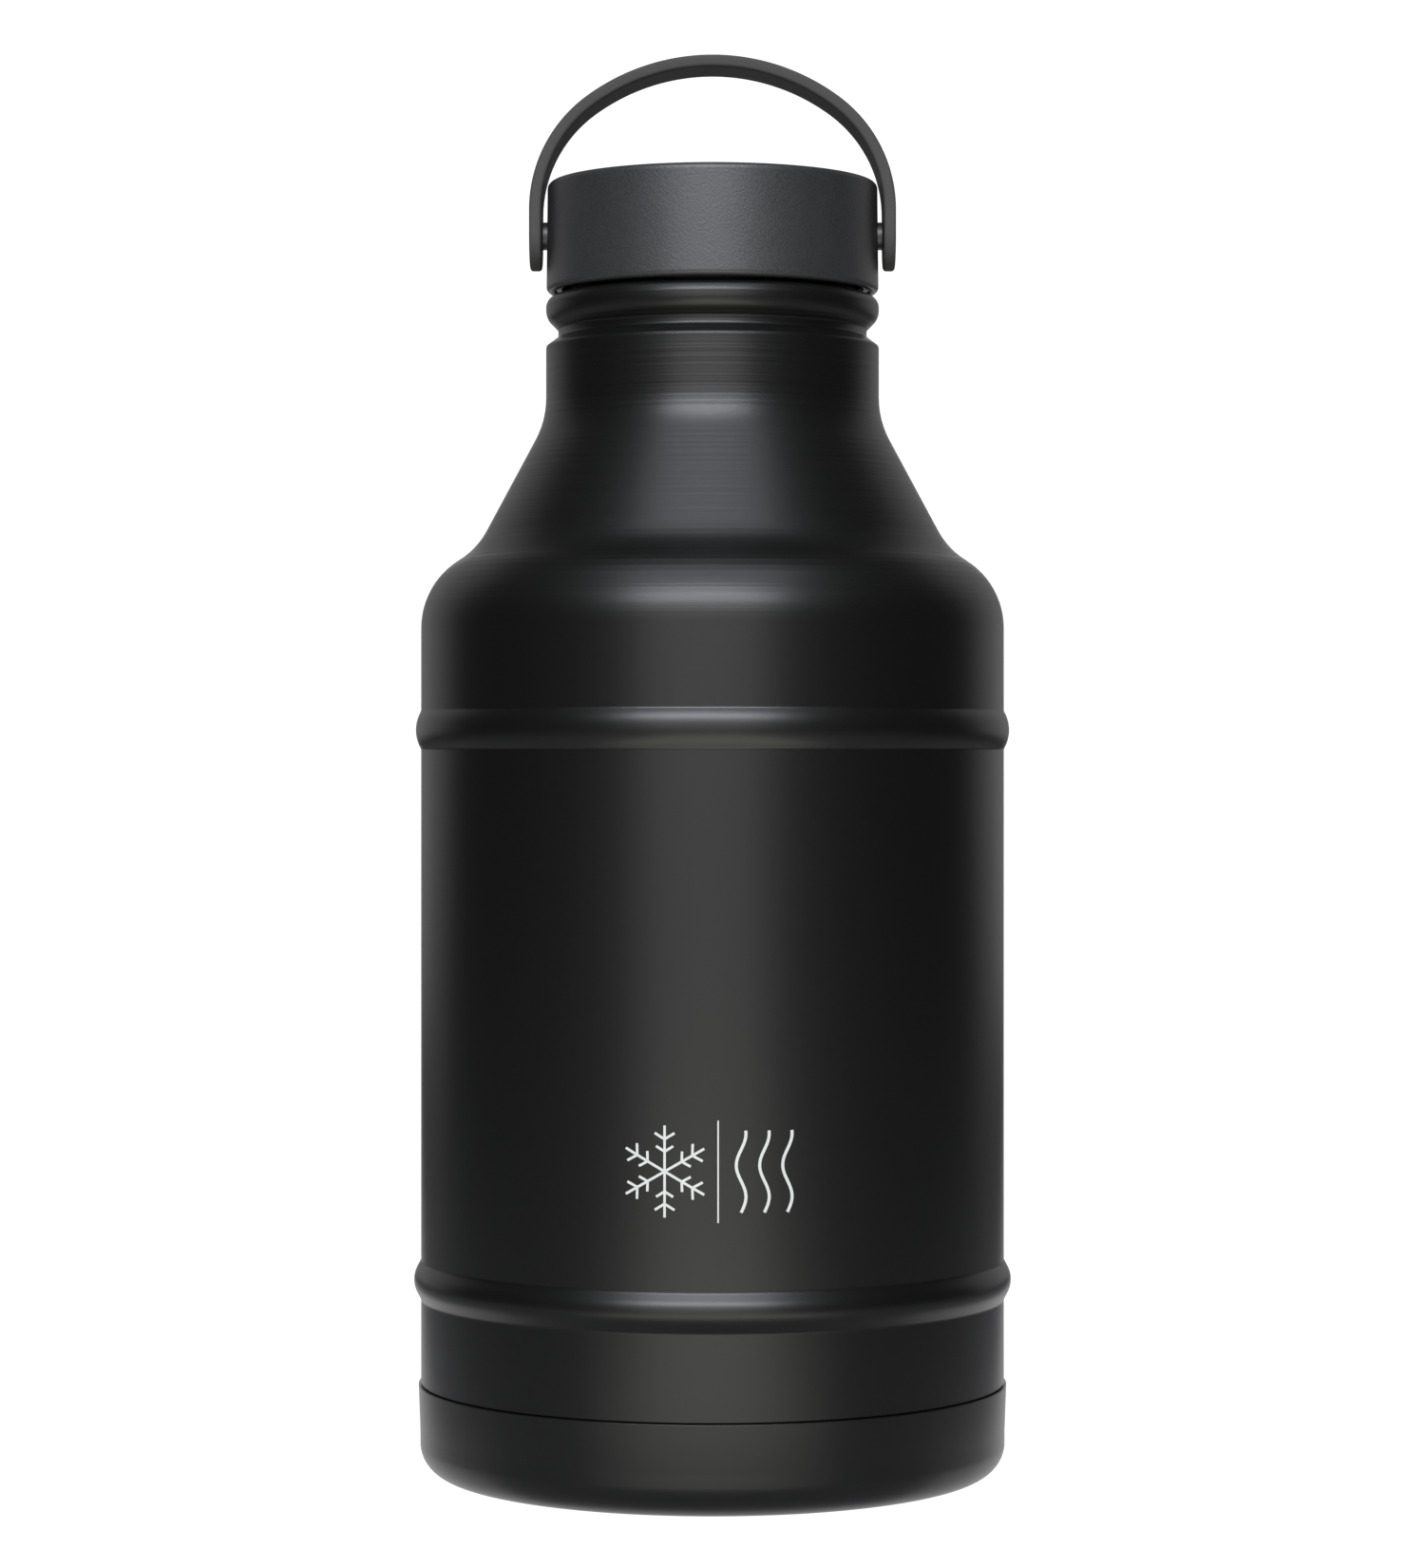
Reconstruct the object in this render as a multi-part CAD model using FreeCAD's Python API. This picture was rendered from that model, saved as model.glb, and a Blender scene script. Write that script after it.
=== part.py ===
"""Vacuum-insulated steel growler with a screw cap and a bail handle.

Frame: millimetres, +Z up, origin at the middle of the foot ring, on the surface that the growler stands on.
The X axis runs along the handle's two pivots, and the body, the neck and the cap are round about Z.

A sheet-metal piece is drawn as one path of its outer surface, in the r-z half plane. Its wall is the same
path moved sideways by the sheet's thickness, so a change of size moves both sides of the wall together.
"""

import FreeCAD
import Part
import math
import os

V = FreeCAD.Vector
Z_AXIS = V(0, 0, 1)

# ---- Steel body -------------------------------------------------------------------------------------------
BODY_R = 60.9          # outside of the straight wall
BODY_H = 176.3         # height where the straight wall ends and the shoulder starts
SHELL_T = 0.7          # outer shell's sheet
VESSEL_T = 0.5         # inner vessel's sheet
VACUUM_GAP = 4.6       # between shell and vessel, along the straight wall
SHOULDER_R = 16.5      # convex arc at the top of the straight wall
SHOULDER_ANGLE = 57.8  # how far that arc turns in, from upright
SWEEP_R = 16.5         # concave arc from the shoulder into the cone
CONE_ANGLE = 28.2      # cone's side, from upright
NECK_SWEEP_R = 18.9    # concave arc from the cone into the neck
SWEEP_FLAT = 0.2       # straight left between the shoulder's two arcs

# ---- Ribs rolled into the body ----------------------------------------------------------------------------
RIB_HALF_H = 4.0
RIB_FLANK_ANGLE = 28.0
RIB_FOOT_R = 1.2
LOWER_RIB_Z = 40.6
LOWER_RIB_PROUD = 1.45
UPPER_RIB_DROP = 21.3  # from the shoulder down to the middle of the upper rib
UPPER_RIB_PROUD = 1.1

# ---- Neck, carrying groove, bead and finish ----------------------------------------------------------------
NECK_PROUD = 0.09      # neck and bead outside the cap's side
NECK_H = 10.65         # straight part of the neck
GROOVE_DEPTH = 2.57
GROOVE_LOWER_H = 1.9   # height of the groove's lower flank
GROOVE_FLOOR_H = 1.55
GROOVE_UPPER_H = 2.57
BEAD_H = 4.55
BEAD_TOP_R = 1.9
GROOVE_EDGE_R = 0.8
GROOVE_FLOOR_R = 1.0
BEAD_LOWER_R = 1.5
FINISH_H = 14.7        # from the bead's top to the lip
FINISH_CORNER_R = 0.8
MOUTH_EDGE_R = 0.3

# ---- Screw thread ------------------------------------------------------------------------------------------
LEAD = 4.0             # rise in one turn
THREAD_H = 1.2
THREAD_ROOT_W = 2.2
THREAD_CREST_W = 1.0
THREAD_SINK = 0.35     # how far a ridge's foot goes into its wall
THREAD_GAP = 0.25      # between a crest and the root that it faces
THREAD_LOAD_GAP = 0.2  # how far the cap's ridge sits above the middle of the neck's groove
NECK_TURNS = 1.75
CAP_TURNS = 1.5
THREAD_START = 4.4     # first turn of the neck's ridge, above the bead

# ---- Base: the shell's own bottom, and the cup that covers it -------------------------------------------------
CUP_T = 0.7
CUP_PROUD = 0.15       # cup's side outside the shell's wall
CUP_FLARE = 0.35       # how far the cup's lip stands out from its side
CUP_FIT = 0.05         # clearance between the cup and the shell's tail
CUP_CORNER_R = 6.6
CUP_STRAIGHT_H = 2.4   # straight side above the corner, before the flare
SEAM_Z = 18.9
SEAM_GAP = 0.35
TAIL_LIFT = 0.9        # end of the shell's tail above the cup's corner
FOOT_W = 7.5           # width of the ring that it stands on
PANEL_RISE = 2.4       # cup's base panel above the foot
PANEL_SLOPE_W = 3.0
STEP_R = 24.0          # stiffening step pressed into the panel
STEP_RISE = 1.0
STEP_SLOPE_W = 0.8
PRESS_R = 0.8          # small radii in the pressed base
BOTTOM_RIM_H = 2.0     # rim turned down where the shell's bottom is welded to its tail
PORT_R = 1.2           # hole that the vacuum is drawn through
DIMPLE_R = 5.0         # dimple that shelters the port's seal
DIMPLE_SLOPE_W = 2.0
DIMPLE_DEPTH = 1.6
SEAL_DROP = 1.2        # seal's bead below the port
SEAL_TAPER = 1.0

# ---- Inside the vacuum -------------------------------------------------------------------------------------
FLOOR_GAP = 3.3        # room for the getter between the shell's bottom and the vessel's
VESSEL_CORNER_R = 9.0
VESSEL_WELD_H = 16.0   # weld between the vessel's bottom and side, above its floor
NECK_GAP = 1.2         # between shell and vessel, inside the finish
WELD_GAP = 0.02
FOIL_T = 0.15
FOIL_FIT = 0.1
FOIL_END_GAP = 3.0     # bare steel left at each end of the foil
GETTER_R = 4.0
GETTER_H = 2.5
GETTER_X = 26.0
CLIP_T = 0.4
CLIP_W = 6.0
CLIP_LEG = 4.0         # length of each welded foot of the clip

# ---- Cap ---------------------------------------------------------------------------------------------------
CAP_R = 34.75          # outside, at the bottom edge
CAP_DRAFT = 0.25       # smaller by this at the top
CAP_H = 22.9
CAP_GAP = 0.7          # between the cap and the neck's bead
CAP_EDGE_R = 1.2
CAP_WALL = 1.8
CAP_TOP_T = 2.0
CAP_DISH_DEPTH = 0.4
CAP_RIM_W = 5.0
LINER_FIT = 0.05
LINER_WALL = 1.35      # liner's wall behind its thread
LINER_TOP_T = 1.5
LINER_RISE = 0.9       # liner's bottom edge above the cap's
FOAM_GAP = 0.1
GASKET_T = 1.8
GASKET_FIT = 0.1
GASKET_W = 4.6
TOUCH = 0.02           # gap kept between faces that press on each other
KEEPER_H = 1.5         # ring inside the liner that keeps the gasket round
KEEPER_W = 1.4

# ---- Handle and its pivots ---------------------------------------------------------------------------------
HANDLE_T = 2.5
HANDLE_W = 14.6
HANDLE_RISE = 26.1     # cap's top to the top of the handle
HANDLE_SIDE_R = 29.2   # outer radius of the two lower bends
HANDLE_EDGE_R = 0.7
HANDLE_BEND_Z = 4.85   # where the arms start to bend, above the pivot
PIVOT_DROP = 10.9      # cap's top down to the pivot
ARM_GAP = 0.92         # cap's wall to the inside of an arm
RIVET_R = 1.5
RIVET_FIT = 0.05
RIVET_HEAD_R = 2.5
RIVET_HEAD_T = 0.9
RIVET_FLANGE_R = 3.0
RIVET_FLANGE_T = 0.6
HEAD_SINK = 0.05       # rivet head below the arm's face
HEAD_SIDE_FIT = 0.1
SPACER_R = 2.9
SPACER_SINK = 0.25     # spot face cut into the cap's wall for the spacer
SPACER_FIT = 0.05

# ---- Worked out from the values above -----------------------------------------------------------------------
LINER_R = CAP_R - CAP_WALL - LINER_FIT
FINISH_R = LINER_R - LINER_WALL - THREAD_GAP - THREAD_H
NECK_R = CAP_R + NECK_PROUD
CUP_R = BODY_R + CUP_PROUD
TAIL_Z = CUP_CORNER_R + TAIL_LIFT
BOTTOM_Z = TAIL_Z + BOTTOM_RIM_H
VESSEL_FLOOR_Z = BOTTOM_Z + SHELL_T + FLOOR_GAP


def shoulder_points():
    """Corners of the shoulder's path, each with its radius: over the body, into the cone, into the neck."""
    turn, cone = math.radians(SHOULDER_ANGLE), math.radians(CONE_ANGLE)
    first_tangent = SHOULDER_R * math.tan(turn / 2)
    second_tangent = SWEEP_R * math.tan((turn - cone) / 2)
    run = first_tangent + SWEEP_FLAT + second_tangent
    over = (BODY_R, BODY_H + first_tangent, SHOULDER_R)
    into_cone = (BODY_R - run * math.sin(turn), over[1] + run * math.cos(turn), SWEEP_R)
    into_neck = (NECK_R, into_cone[1] + (into_cone[0] - NECK_R) / math.tan(cone), NECK_SWEEP_R)
    return [over, into_cone, into_neck]


NECK_Z = shoulder_points()[2][1] + NECK_SWEEP_R * math.tan(math.radians(CONE_ANGLE) / 2)
GROOVE_Z = NECK_Z + NECK_H
BEAD_TOP_Z = GROOVE_Z + GROOVE_LOWER_H + GROOVE_FLOOR_H + GROOVE_UPPER_H + BEAD_H
LIP_Z = BEAD_TOP_Z + FINISH_H
CAP_Z = BEAD_TOP_Z + CAP_GAP
CAP_TOP_Z = CAP_Z + CAP_H
PIVOT_Z = CAP_TOP_Z - PIVOT_DROP
HANDLE_TOP_Z = CAP_TOP_Z + HANDLE_RISE
GASKET_Z = LIP_Z + TOUCH
LINER_TOP_Z = GASKET_Z + GASKET_T + TOUCH
SPACER_FACE_X = CAP_R - CAP_DRAFT - SPACER_SINK
ARM_IN_X = CAP_R + ARM_GAP
ARM_OUT_X = ARM_IN_X + HANDLE_T


# ---- Drawing in the r-z half plane ---------------------------------------------------------------------------
def point(r, z):
    return V(r, 0, z)


def unit(a, b):
    length = math.hypot(b[0] - a[0], b[1] - a[1])
    return (b[0] - a[0]) / length, (b[1] - a[1]) / length


def moved_left(path, distance):
    """The path moved to the left of its direction. A left turn's radius shrinks, and a right turn's grows."""
    out = []
    last = len(path) - 1
    for i, (r, z, radius) in enumerate(path):
        before = unit(path[i - 1], path[i]) if i else unit(path[0], path[1])
        after = unit(path[i], path[i + 1]) if i < last else before
        n1, n2 = (-before[1], before[0]), (-after[1], after[0])
        share = distance / (1 + n1[0] * n2[0] + n1[1] * n2[1])
        left_turn = before[0] * after[1] - before[1] * after[0] > 0
        new_radius = max(0.0, radius - distance if left_turn else radius + distance) if radius else 0.0
        out.append((r + share * (n1[0] + n2[0]), z + share * (n1[1] + n2[1]), new_radius))
    return out


def path_edges(path):
    """Straight runs joined by tangent arcs."""
    edges = []
    at = point(path[0][0], path[0][1])
    for i in range(1, len(path)):
        corner, radius = path[i][:2], path[i][2]
        if radius and i < len(path) - 1:
            a, b = unit(path[i - 1], path[i]), unit(path[i], path[i + 1])
            half_turn = math.acos(max(-1.0, min(1.0, a[0] * b[0] + a[1] * b[1]))) / 2
            back = radius * math.tan(half_turn)
            start = point(corner[0] - a[0] * back, corner[1] - a[1] * back)
            end = point(corner[0] + b[0] * back, corner[1] + b[1] * back)
            inward = unit((0, 0), (b[0] - a[0], b[1] - a[1]))
            depth = radius / math.cos(half_turn) - radius
            middle = point(corner[0] + inward[0] * depth, corner[1] + inward[1] * depth)
            if (start - at).Length > 1e-6:
                edges.append(Part.LineSegment(at, start).toShape())
            edges.append(Part.Arc(start, middle, end).toShape())
            at = end
        else:
            edges.append(Part.LineSegment(at, point(*corner)).toShape())
            at = point(*corner)
    return edges


def turned(edges):
    """The solid swept by a closed outline turned once about Z."""
    face = Part.Face(Part.Wire(Part.__sortEdges__(edges)))
    return face.revolve(V(0, 0, 0), Z_AXIS, 360)


def turned_outline(path):
    closed = path + [path[0][:2] + (0,)]
    return turned(path_edges(closed))


def turned_sheet(path, thickness):
    """A sheet of even thickness, whose outer surface follows the path and whose wall lies to the path's left."""
    inner = moved_left(path, thickness)
    ends = [
        Part.LineSegment(point(*path[0][:2]), point(*inner[0][:2])).toShape(),
        Part.LineSegment(point(*path[-1][:2]), point(*inner[-1][:2])).toShape(),
    ]
    return turned(path_edges(path) + path_edges(inner) + ends)


def rod_x(radius, start_x, end_x, z=PIVOT_Z):
    return Part.makeCylinder(radius, end_x - start_x, V(start_x, 0, z), V(1, 0, 0))


def mirrored(shape):
    return shape.mirror(V(0, 0, 0), V(1, 0, 0))


def thread_ridge(foot_r, crest_r, first_z, turns):
    """One right-hand helical ridge, from its foot inside the wall to its crest."""
    inward = 1 if crest_r > foot_r else -1
    sunk_r = foot_r - inward * THREAD_SINK
    slope = (THREAD_ROOT_W - THREAD_CREST_W) / 2 / THREAD_H
    sunk_w = THREAD_ROOT_W + 2 * slope * THREAD_SINK
    corners = [
        V(sunk_r, 0, -sunk_w / 2),
        V(crest_r, 0, -THREAD_CREST_W / 2),
        V(crest_r, 0, THREAD_CREST_W / 2),
        V(sunk_r, 0, sunk_w / 2),
    ]
    section = Part.makePolygon(corners + corners[:1])
    helix = Part.Wire(Part.makeHelix(LEAD, LEAD * turns, foot_r).Edges)
    ridge = helix.makePipeShell([section], True, True)
    ridge.translate(V(0, 0, first_z))
    return ridge


# ---- Steel body --------------------------------------------------------------------------------------------
def rib_points(z, proud):
    """A rolled rib: two straight flanks that meet at a wide arc, standing proud of the body."""
    flank = math.radians(RIB_FLANK_ANGLE)
    peak = RIB_HALF_H * math.tan(flank)
    arc_r = (peak - proud) / (1 / math.cos(flank) - 1)
    arc_r = min(arc_r, 0.9 * RIB_HALF_H / math.cos(flank) / math.tan(flank))
    return [
        (BODY_R, z - RIB_HALF_H, RIB_FOOT_R),
        (BODY_R + peak, z, arc_r),
        (BODY_R, z + RIB_HALF_H, RIB_FOOT_R),
    ]


def neck_points():
    """The carrying groove, the bead above it, and the finish that the cap screws onto."""
    floor_r = NECK_R - GROOVE_DEPTH
    floor_z = GROOVE_Z + GROOVE_LOWER_H
    bead_z = floor_z + GROOVE_FLOOR_H + GROOVE_UPPER_H
    return [
        (NECK_R, GROOVE_Z, GROOVE_EDGE_R),
        (floor_r, floor_z, GROOVE_FLOOR_R),
        (floor_r, floor_z + GROOVE_FLOOR_H, GROOVE_FLOOR_R),
        (NECK_R, bead_z, BEAD_LOWER_R),
        (NECK_R, BEAD_TOP_Z, BEAD_TOP_R),
        (FINISH_R, BEAD_TOP_Z, FINISH_CORNER_R),
        (FINISH_R, LIP_Z - VESSEL_T, 0),
    ]


def make_outer_shell():
    tail_r = CUP_R - CUP_T - CUP_FIT
    path = [
        (tail_r, TAIL_Z, 0),
        (tail_r, CUP_CORNER_R + CUP_STRAIGHT_H, 0),
        (tail_r + CUP_FLARE, SEAM_Z, 0),
        (BODY_R, SEAM_Z + SEAM_GAP, 0),
    ]
    path += rib_points(LOWER_RIB_Z, LOWER_RIB_PROUD)
    path += rib_points(BODY_H - UPPER_RIB_DROP, UPPER_RIB_PROUD)
    path += shoulder_points() + neck_points()
    shell = turned_sheet(path, SHELL_T)
    ridge = thread_ridge(FINISH_R, FINISH_R + THREAD_H, BEAD_TOP_Z + THREAD_START, NECK_TURNS)
    return shell.fuse(ridge).removeSplitter()


def vessel_r():
    return BODY_R - SHELL_T - VACUUM_GAP


def vessel_neck_r():
    return FINISH_R - SHELL_T - NECK_GAP


def make_inner_vessel():
    """The inner vessel's side, from the weld at its bottom to the lip that it turns over the outer shell."""
    over, into_cone, into_neck = moved_left(
        [(BODY_R, BODY_H, 0)] + shoulder_points() + [(NECK_R, GROOVE_Z, 0)], SHELL_T + VACUUM_GAP
    )[1:4]
    neck_r = vessel_neck_r()
    slope = math.tan(math.radians(CONE_ANGLE))
    neck_corner_z = into_cone[1] + (into_cone[0] - neck_r) / slope
    path = [
        (vessel_r(), VESSEL_FLOOR_Z + VESSEL_WELD_H + WELD_GAP, 0),
        over,
        into_cone,
        (neck_r, neck_corner_z, into_neck[2]),
        (neck_r, LIP_Z - VESSEL_T, MOUTH_EDGE_R),
        (FINISH_R, LIP_Z - VESSEL_T, 0),
    ]
    return turned_sheet(path, VESSEL_T)


def make_inner_bottom():
    r = vessel_r()
    path = [
        (0, VESSEL_FLOOR_Z, 0),
        (r, VESSEL_FLOOR_Z, VESSEL_CORNER_R),
        (r, VESSEL_FLOOR_Z + VESSEL_WELD_H, 0),
    ]
    return turned_sheet(path, VESSEL_T)


def make_radiation_foil():
    r = vessel_r() + FOIL_FIT
    bottom = VESSEL_FLOOR_Z + VESSEL_WELD_H + FOIL_END_GAP
    tube = Part.makeCylinder(r + FOIL_T, BODY_H - FOIL_END_GAP - bottom, V(0, 0, bottom))
    return tube.cut(Part.makeCylinder(r, BODY_H, V(0, 0, 0)))


def make_getter_pill():
    top = VESSEL_FLOOR_Z - TOUCH
    return Part.makeCylinder(GETTER_R, GETTER_H, V(GETTER_X, 0, top - GETTER_H))


def make_getter_clip():
    """A strip bent down round the getter, with a foot each side welded under the vessel's floor."""
    top = VESSEL_FLOOR_Z - TOUCH
    inside = GETTER_R + FOAM_GAP
    outside = inside + CLIP_T
    drop = GETTER_H + FOAM_GAP + CLIP_T
    strip = Part.makeBox(2 * outside, CLIP_W, drop, V(GETTER_X - outside, -CLIP_W / 2, top - drop))
    hollow = Part.makeBox(2 * inside, CLIP_W, drop - CLIP_T, V(GETTER_X - inside, -CLIP_W / 2, top - drop + CLIP_T))
    clip = strip.cut(hollow)
    for side in (-1, 1):
        x = GETTER_X + (outside if side > 0 else -outside - CLIP_LEG)
        clip = clip.fuse(Part.makeBox(CLIP_LEG, CLIP_W, CLIP_T, V(x, -CLIP_W / 2, top - CLIP_T)))
    return clip.removeSplitter()


# ---- Base --------------------------------------------------------------------------------------------------
def dimple_z():
    return BOTTOM_Z + DIMPLE_DEPTH


def make_outer_bottom():
    """The shell's own bottom: a plate welded inside the tail, with the port that the vacuum is drawn through."""
    rim_r = CUP_R - CUP_T - CUP_FIT - SHELL_T - WELD_GAP
    path = [
        (PORT_R, dimple_z(), 0),
        (DIMPLE_R, dimple_z(), PRESS_R),
        (DIMPLE_R + DIMPLE_SLOPE_W, BOTTOM_Z, PRESS_R),
        (rim_r - SHELL_T, BOTTOM_Z, PRESS_R),
        (rim_r - SHELL_T, TAIL_Z, 0),
    ]
    return turned_sheet(path, SHELL_T)


def make_vacuum_seal_bead():
    """Glass solder: a plug through the port, with a bead below it in the dimple."""
    top = dimple_z() + SHELL_T
    bead_r = DIMPLE_R - 2 * PRESS_R
    path = [
        (0, dimple_z() - SEAL_DROP, 0),
        (bead_r - SEAL_TAPER, dimple_z() - SEAL_DROP, 0),
        (bead_r, dimple_z() - TOUCH, 0),
        (PORT_R - TOUCH, dimple_z() - TOUCH, 0),
        (PORT_R - TOUCH, top, 0),
        (0, top, 0),
    ]
    return turned_outline(path)


def make_base_cup():
    """The cup pressed over the shell's tail. The growler stands on its foot ring."""
    foot_in_r = CUP_R - CUP_CORNER_R - FOOT_W
    path = [
        (0, PANEL_RISE + STEP_RISE, 0),
        (STEP_R, PANEL_RISE + STEP_RISE, PRESS_R),
        (STEP_R + STEP_SLOPE_W, PANEL_RISE, PRESS_R),
        (foot_in_r - PANEL_SLOPE_W, PANEL_RISE, PRESS_R),
        (foot_in_r, 0, PRESS_R),
        (CUP_R, 0, CUP_CORNER_R),
        (CUP_R, CUP_CORNER_R + CUP_STRAIGHT_H, 0),
        (CUP_R + CUP_FLARE, SEAM_Z, 0),
    ]
    return turned_sheet(path, CUP_T)


# ---- Cap ---------------------------------------------------------------------------------------------------
def make_cap_shell():
    top_r = CAP_R - CAP_DRAFT
    bore_r = CAP_R - CAP_WALL
    ceiling_z = CAP_TOP_Z - CAP_TOP_T
    dish_z = CAP_TOP_Z - CAP_DISH_DEPTH
    path = [
        (bore_r, CAP_Z, 0),
        (CAP_R, CAP_Z, CAP_EDGE_R),
        (top_r, CAP_TOP_Z, CAP_EDGE_R),
        (top_r - CAP_RIM_W, CAP_TOP_Z, CAP_EDGE_R),
        (top_r - CAP_RIM_W - 2 * CAP_DISH_DEPTH, dish_z, CAP_EDGE_R),
        (0, dish_z, 0),
        (0, ceiling_z, 0),
        (bore_r, ceiling_z, 0),
    ]
    shell = turned_outline(path)
    hole_r = RIVET_R + RIVET_FIT
    pocket_r = RIVET_FLANGE_R + HEAD_SIDE_FIT
    for flip in (False, True):
        cuts = [
            rod_x(hole_r, 0, CAP_R + 1),
            rod_x(pocket_r, 0, bore_r + RIVET_FLANGE_T + TOUCH),
            rod_x(SPACER_R + HEAD_SIDE_FIT, SPACER_FACE_X, CAP_R + 1),
        ]
        for cut in cuts:
            shell = shell.cut(mirrored(cut) if flip else cut)
    return shell


def make_cap_liner():
    """The threaded cup inside the cap, with a seat for the gasket under its top."""
    bottom_z = CAP_Z + LINER_RISE
    root_r = FINISH_R + THREAD_H + THREAD_GAP
    top_z = LINER_TOP_Z + LINER_TOP_T
    keeper_r = gasket_in_r() - GASKET_FIT
    path = [
        (root_r, bottom_z, 0),
        (LINER_R, bottom_z, 0),
        (LINER_R, top_z, 0),
        (0, top_z, 0),
        (0, LINER_TOP_Z, 0),
        (keeper_r - KEEPER_W, LINER_TOP_Z, 0),
        (keeper_r - KEEPER_W, LINER_TOP_Z - KEEPER_H, 0.3),
        (keeper_r, LINER_TOP_Z - KEEPER_H, 0.3),
        (keeper_r, LINER_TOP_Z, 0),
        (root_r, LINER_TOP_Z, 0),
    ]
    liner = turned_outline(path)
    first_z = BEAD_TOP_Z + THREAD_START - LEAD / 2 + THREAD_LOAD_GAP
    ridge = thread_ridge(root_r, root_r - THREAD_H, first_z, CAP_TURNS)
    return liner.fuse(ridge).removeSplitter()


def gasket_in_r():
    return FINISH_R + THREAD_H - GASKET_W


def make_cap_gasket():
    outer_r = FINISH_R + THREAD_H + THREAD_GAP - GASKET_FIT
    path = [
        (gasket_in_r(), GASKET_Z, 0.3),
        (outer_r, GASKET_Z, 0.3),
        (outer_r, GASKET_Z + GASKET_T, 0),
        (gasket_in_r(), GASKET_Z + GASKET_T, 0),
    ]
    return turned_outline(path)


def make_cap_foam():
    bottom = LINER_TOP_Z + LINER_TOP_T + FOAM_GAP
    top = CAP_TOP_Z - CAP_TOP_T - FOAM_GAP
    return Part.makeCylinder(CAP_R - CAP_WALL - FOAM_GAP, top - bottom, V(0, 0, bottom))


# ---- Handle and its pivots ---------------------------------------------------------------------------------
def arch_edges(inset):
    """The arch's outline in the x-z plane, from the left arm's foot over to the right arm's foot."""
    side_r = HANDLE_SIDE_R - inset
    side_x = ARM_OUT_X - HANDLE_SIDE_R
    side_z = PIVOT_Z + HANDLE_BEND_Z
    lift = HANDLE_TOP_Z - side_z
    # The top arc touches both side arcs, so its radius follows from where they are.
    outer_top_r = (side_x**2 + lift**2 - HANDLE_SIDE_R**2) / (2 * (lift - HANDLE_SIDE_R))
    top_r = outer_top_r - inset
    top_z = HANDLE_TOP_Z - outer_top_r
    meet = math.atan2(side_z - top_z, side_x)
    halfway = meet / 2

    def on_side(angle):
        return point(side_x + side_r * math.cos(angle), side_z + side_r * math.sin(angle))

    def on_top(angle):
        return point(top_r * math.cos(angle), top_z + top_r * math.sin(angle))

    def left(p):
        return V(-p.x, p.y, p.z)

    foot = point(ARM_OUT_X - inset, PIVOT_Z - HANDLE_W)
    right = [
        Part.LineSegment(foot, on_side(0)).toShape(),
        Part.Arc(on_side(0), on_side(halfway), on_side(meet)).toShape(),
    ]
    crown = Part.Arc(on_top(meet), on_top(math.pi / 2), on_top(math.pi - meet)).toShape()
    other = [
        Part.LineSegment(left(foot), left(on_side(0))).toShape(),
        Part.Arc(left(on_side(0)), left(on_side(halfway)), left(on_side(meet))).toShape(),
    ]
    return right + [crown] + other, foot


def make_handle():
    """A bail of flat bar: rounded arms on the pivots, and an arch over the cap."""
    outer, outer_foot = arch_edges(0)
    inner, inner_foot = arch_edges(HANDLE_T)
    feet = [
        Part.LineSegment(outer_foot, inner_foot).toShape(),
        Part.LineSegment(V(-outer_foot.x, 0, outer_foot.z), V(-inner_foot.x, 0, inner_foot.z)).toShape(),
    ]
    face = Part.Face(Part.Wire(Part.__sortEdges__(outer + inner + feet)))
    face.translate(V(0, -HANDLE_W / 2, 0))
    band = face.extrude(V(0, HANDLE_W, 0))
    reach = ARM_OUT_X + 1
    above_pivot = Part.makeBox(2 * reach, HANDLE_W, HANDLE_TOP_Z, V(-reach, -HANDLE_W / 2, PIVOT_Z))
    round_end = rod_x(HANDLE_W / 2, -reach, reach)
    bar = band.common(above_pivot.fuse(round_end).removeSplitter()).removeSplitter()
    rims = [e for e in bar.Edges if on_long_edge(e)]
    bar = bar.makeFillet(HANDLE_EDGE_R, rims)
    for flip in (False, True):
        cuts = [
            rod_x(RIVET_R + RIVET_FIT, 0, reach),
            rod_x(RIVET_HEAD_R + HEAD_SIDE_FIT, ARM_OUT_X - RIVET_HEAD_T - HEAD_SINK, reach),
        ]
        for cut in cuts:
            bar = bar.cut(mirrored(cut) if flip else cut)
    return bar


def on_long_edge(edge):
    """True for the edges that run round the bar's outer and inner faces."""
    middle = edge.valueAt((edge.FirstParameter + edge.LastParameter) / 2)
    on_side_face = abs(abs(middle.y) - HANDLE_W / 2) < 1e-3
    on_end = middle.z < PIVOT_Z - 1e-3 and abs(middle.x) > ARM_IN_X - 1e-3
    return on_side_face or on_end


def make_rivet():
    """A pivot: its flange is held inside the cap's wall, and its head is closed into the arm."""
    flange_x = CAP_R - CAP_WALL + TOUCH
    head_x = ARM_OUT_X - HEAD_SINK - RIVET_HEAD_T
    shank = rod_x(RIVET_R, flange_x, head_x + TOUCH)
    flange = rod_x(RIVET_FLANGE_R, flange_x, flange_x + RIVET_FLANGE_T - TOUCH)
    head = rod_x(RIVET_HEAD_R, head_x + TOUCH, ARM_OUT_X - HEAD_SINK)
    face_rim = [e for e in head.Edges if e.Closed and e.CenterOfMass.x > ARM_OUT_X - RIVET_HEAD_T / 2]
    head = head.makeFillet(RIVET_HEAD_T / 2, face_rim)
    return shank.fuse([flange, head]).removeSplitter()


def make_spacer():
    washer = rod_x(SPACER_R, SPACER_FACE_X + TOUCH, ARM_IN_X - SPACER_FIT)
    return washer.cut(rod_x(RIVET_R + RIVET_FIT, 0, ARM_OUT_X))


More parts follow.
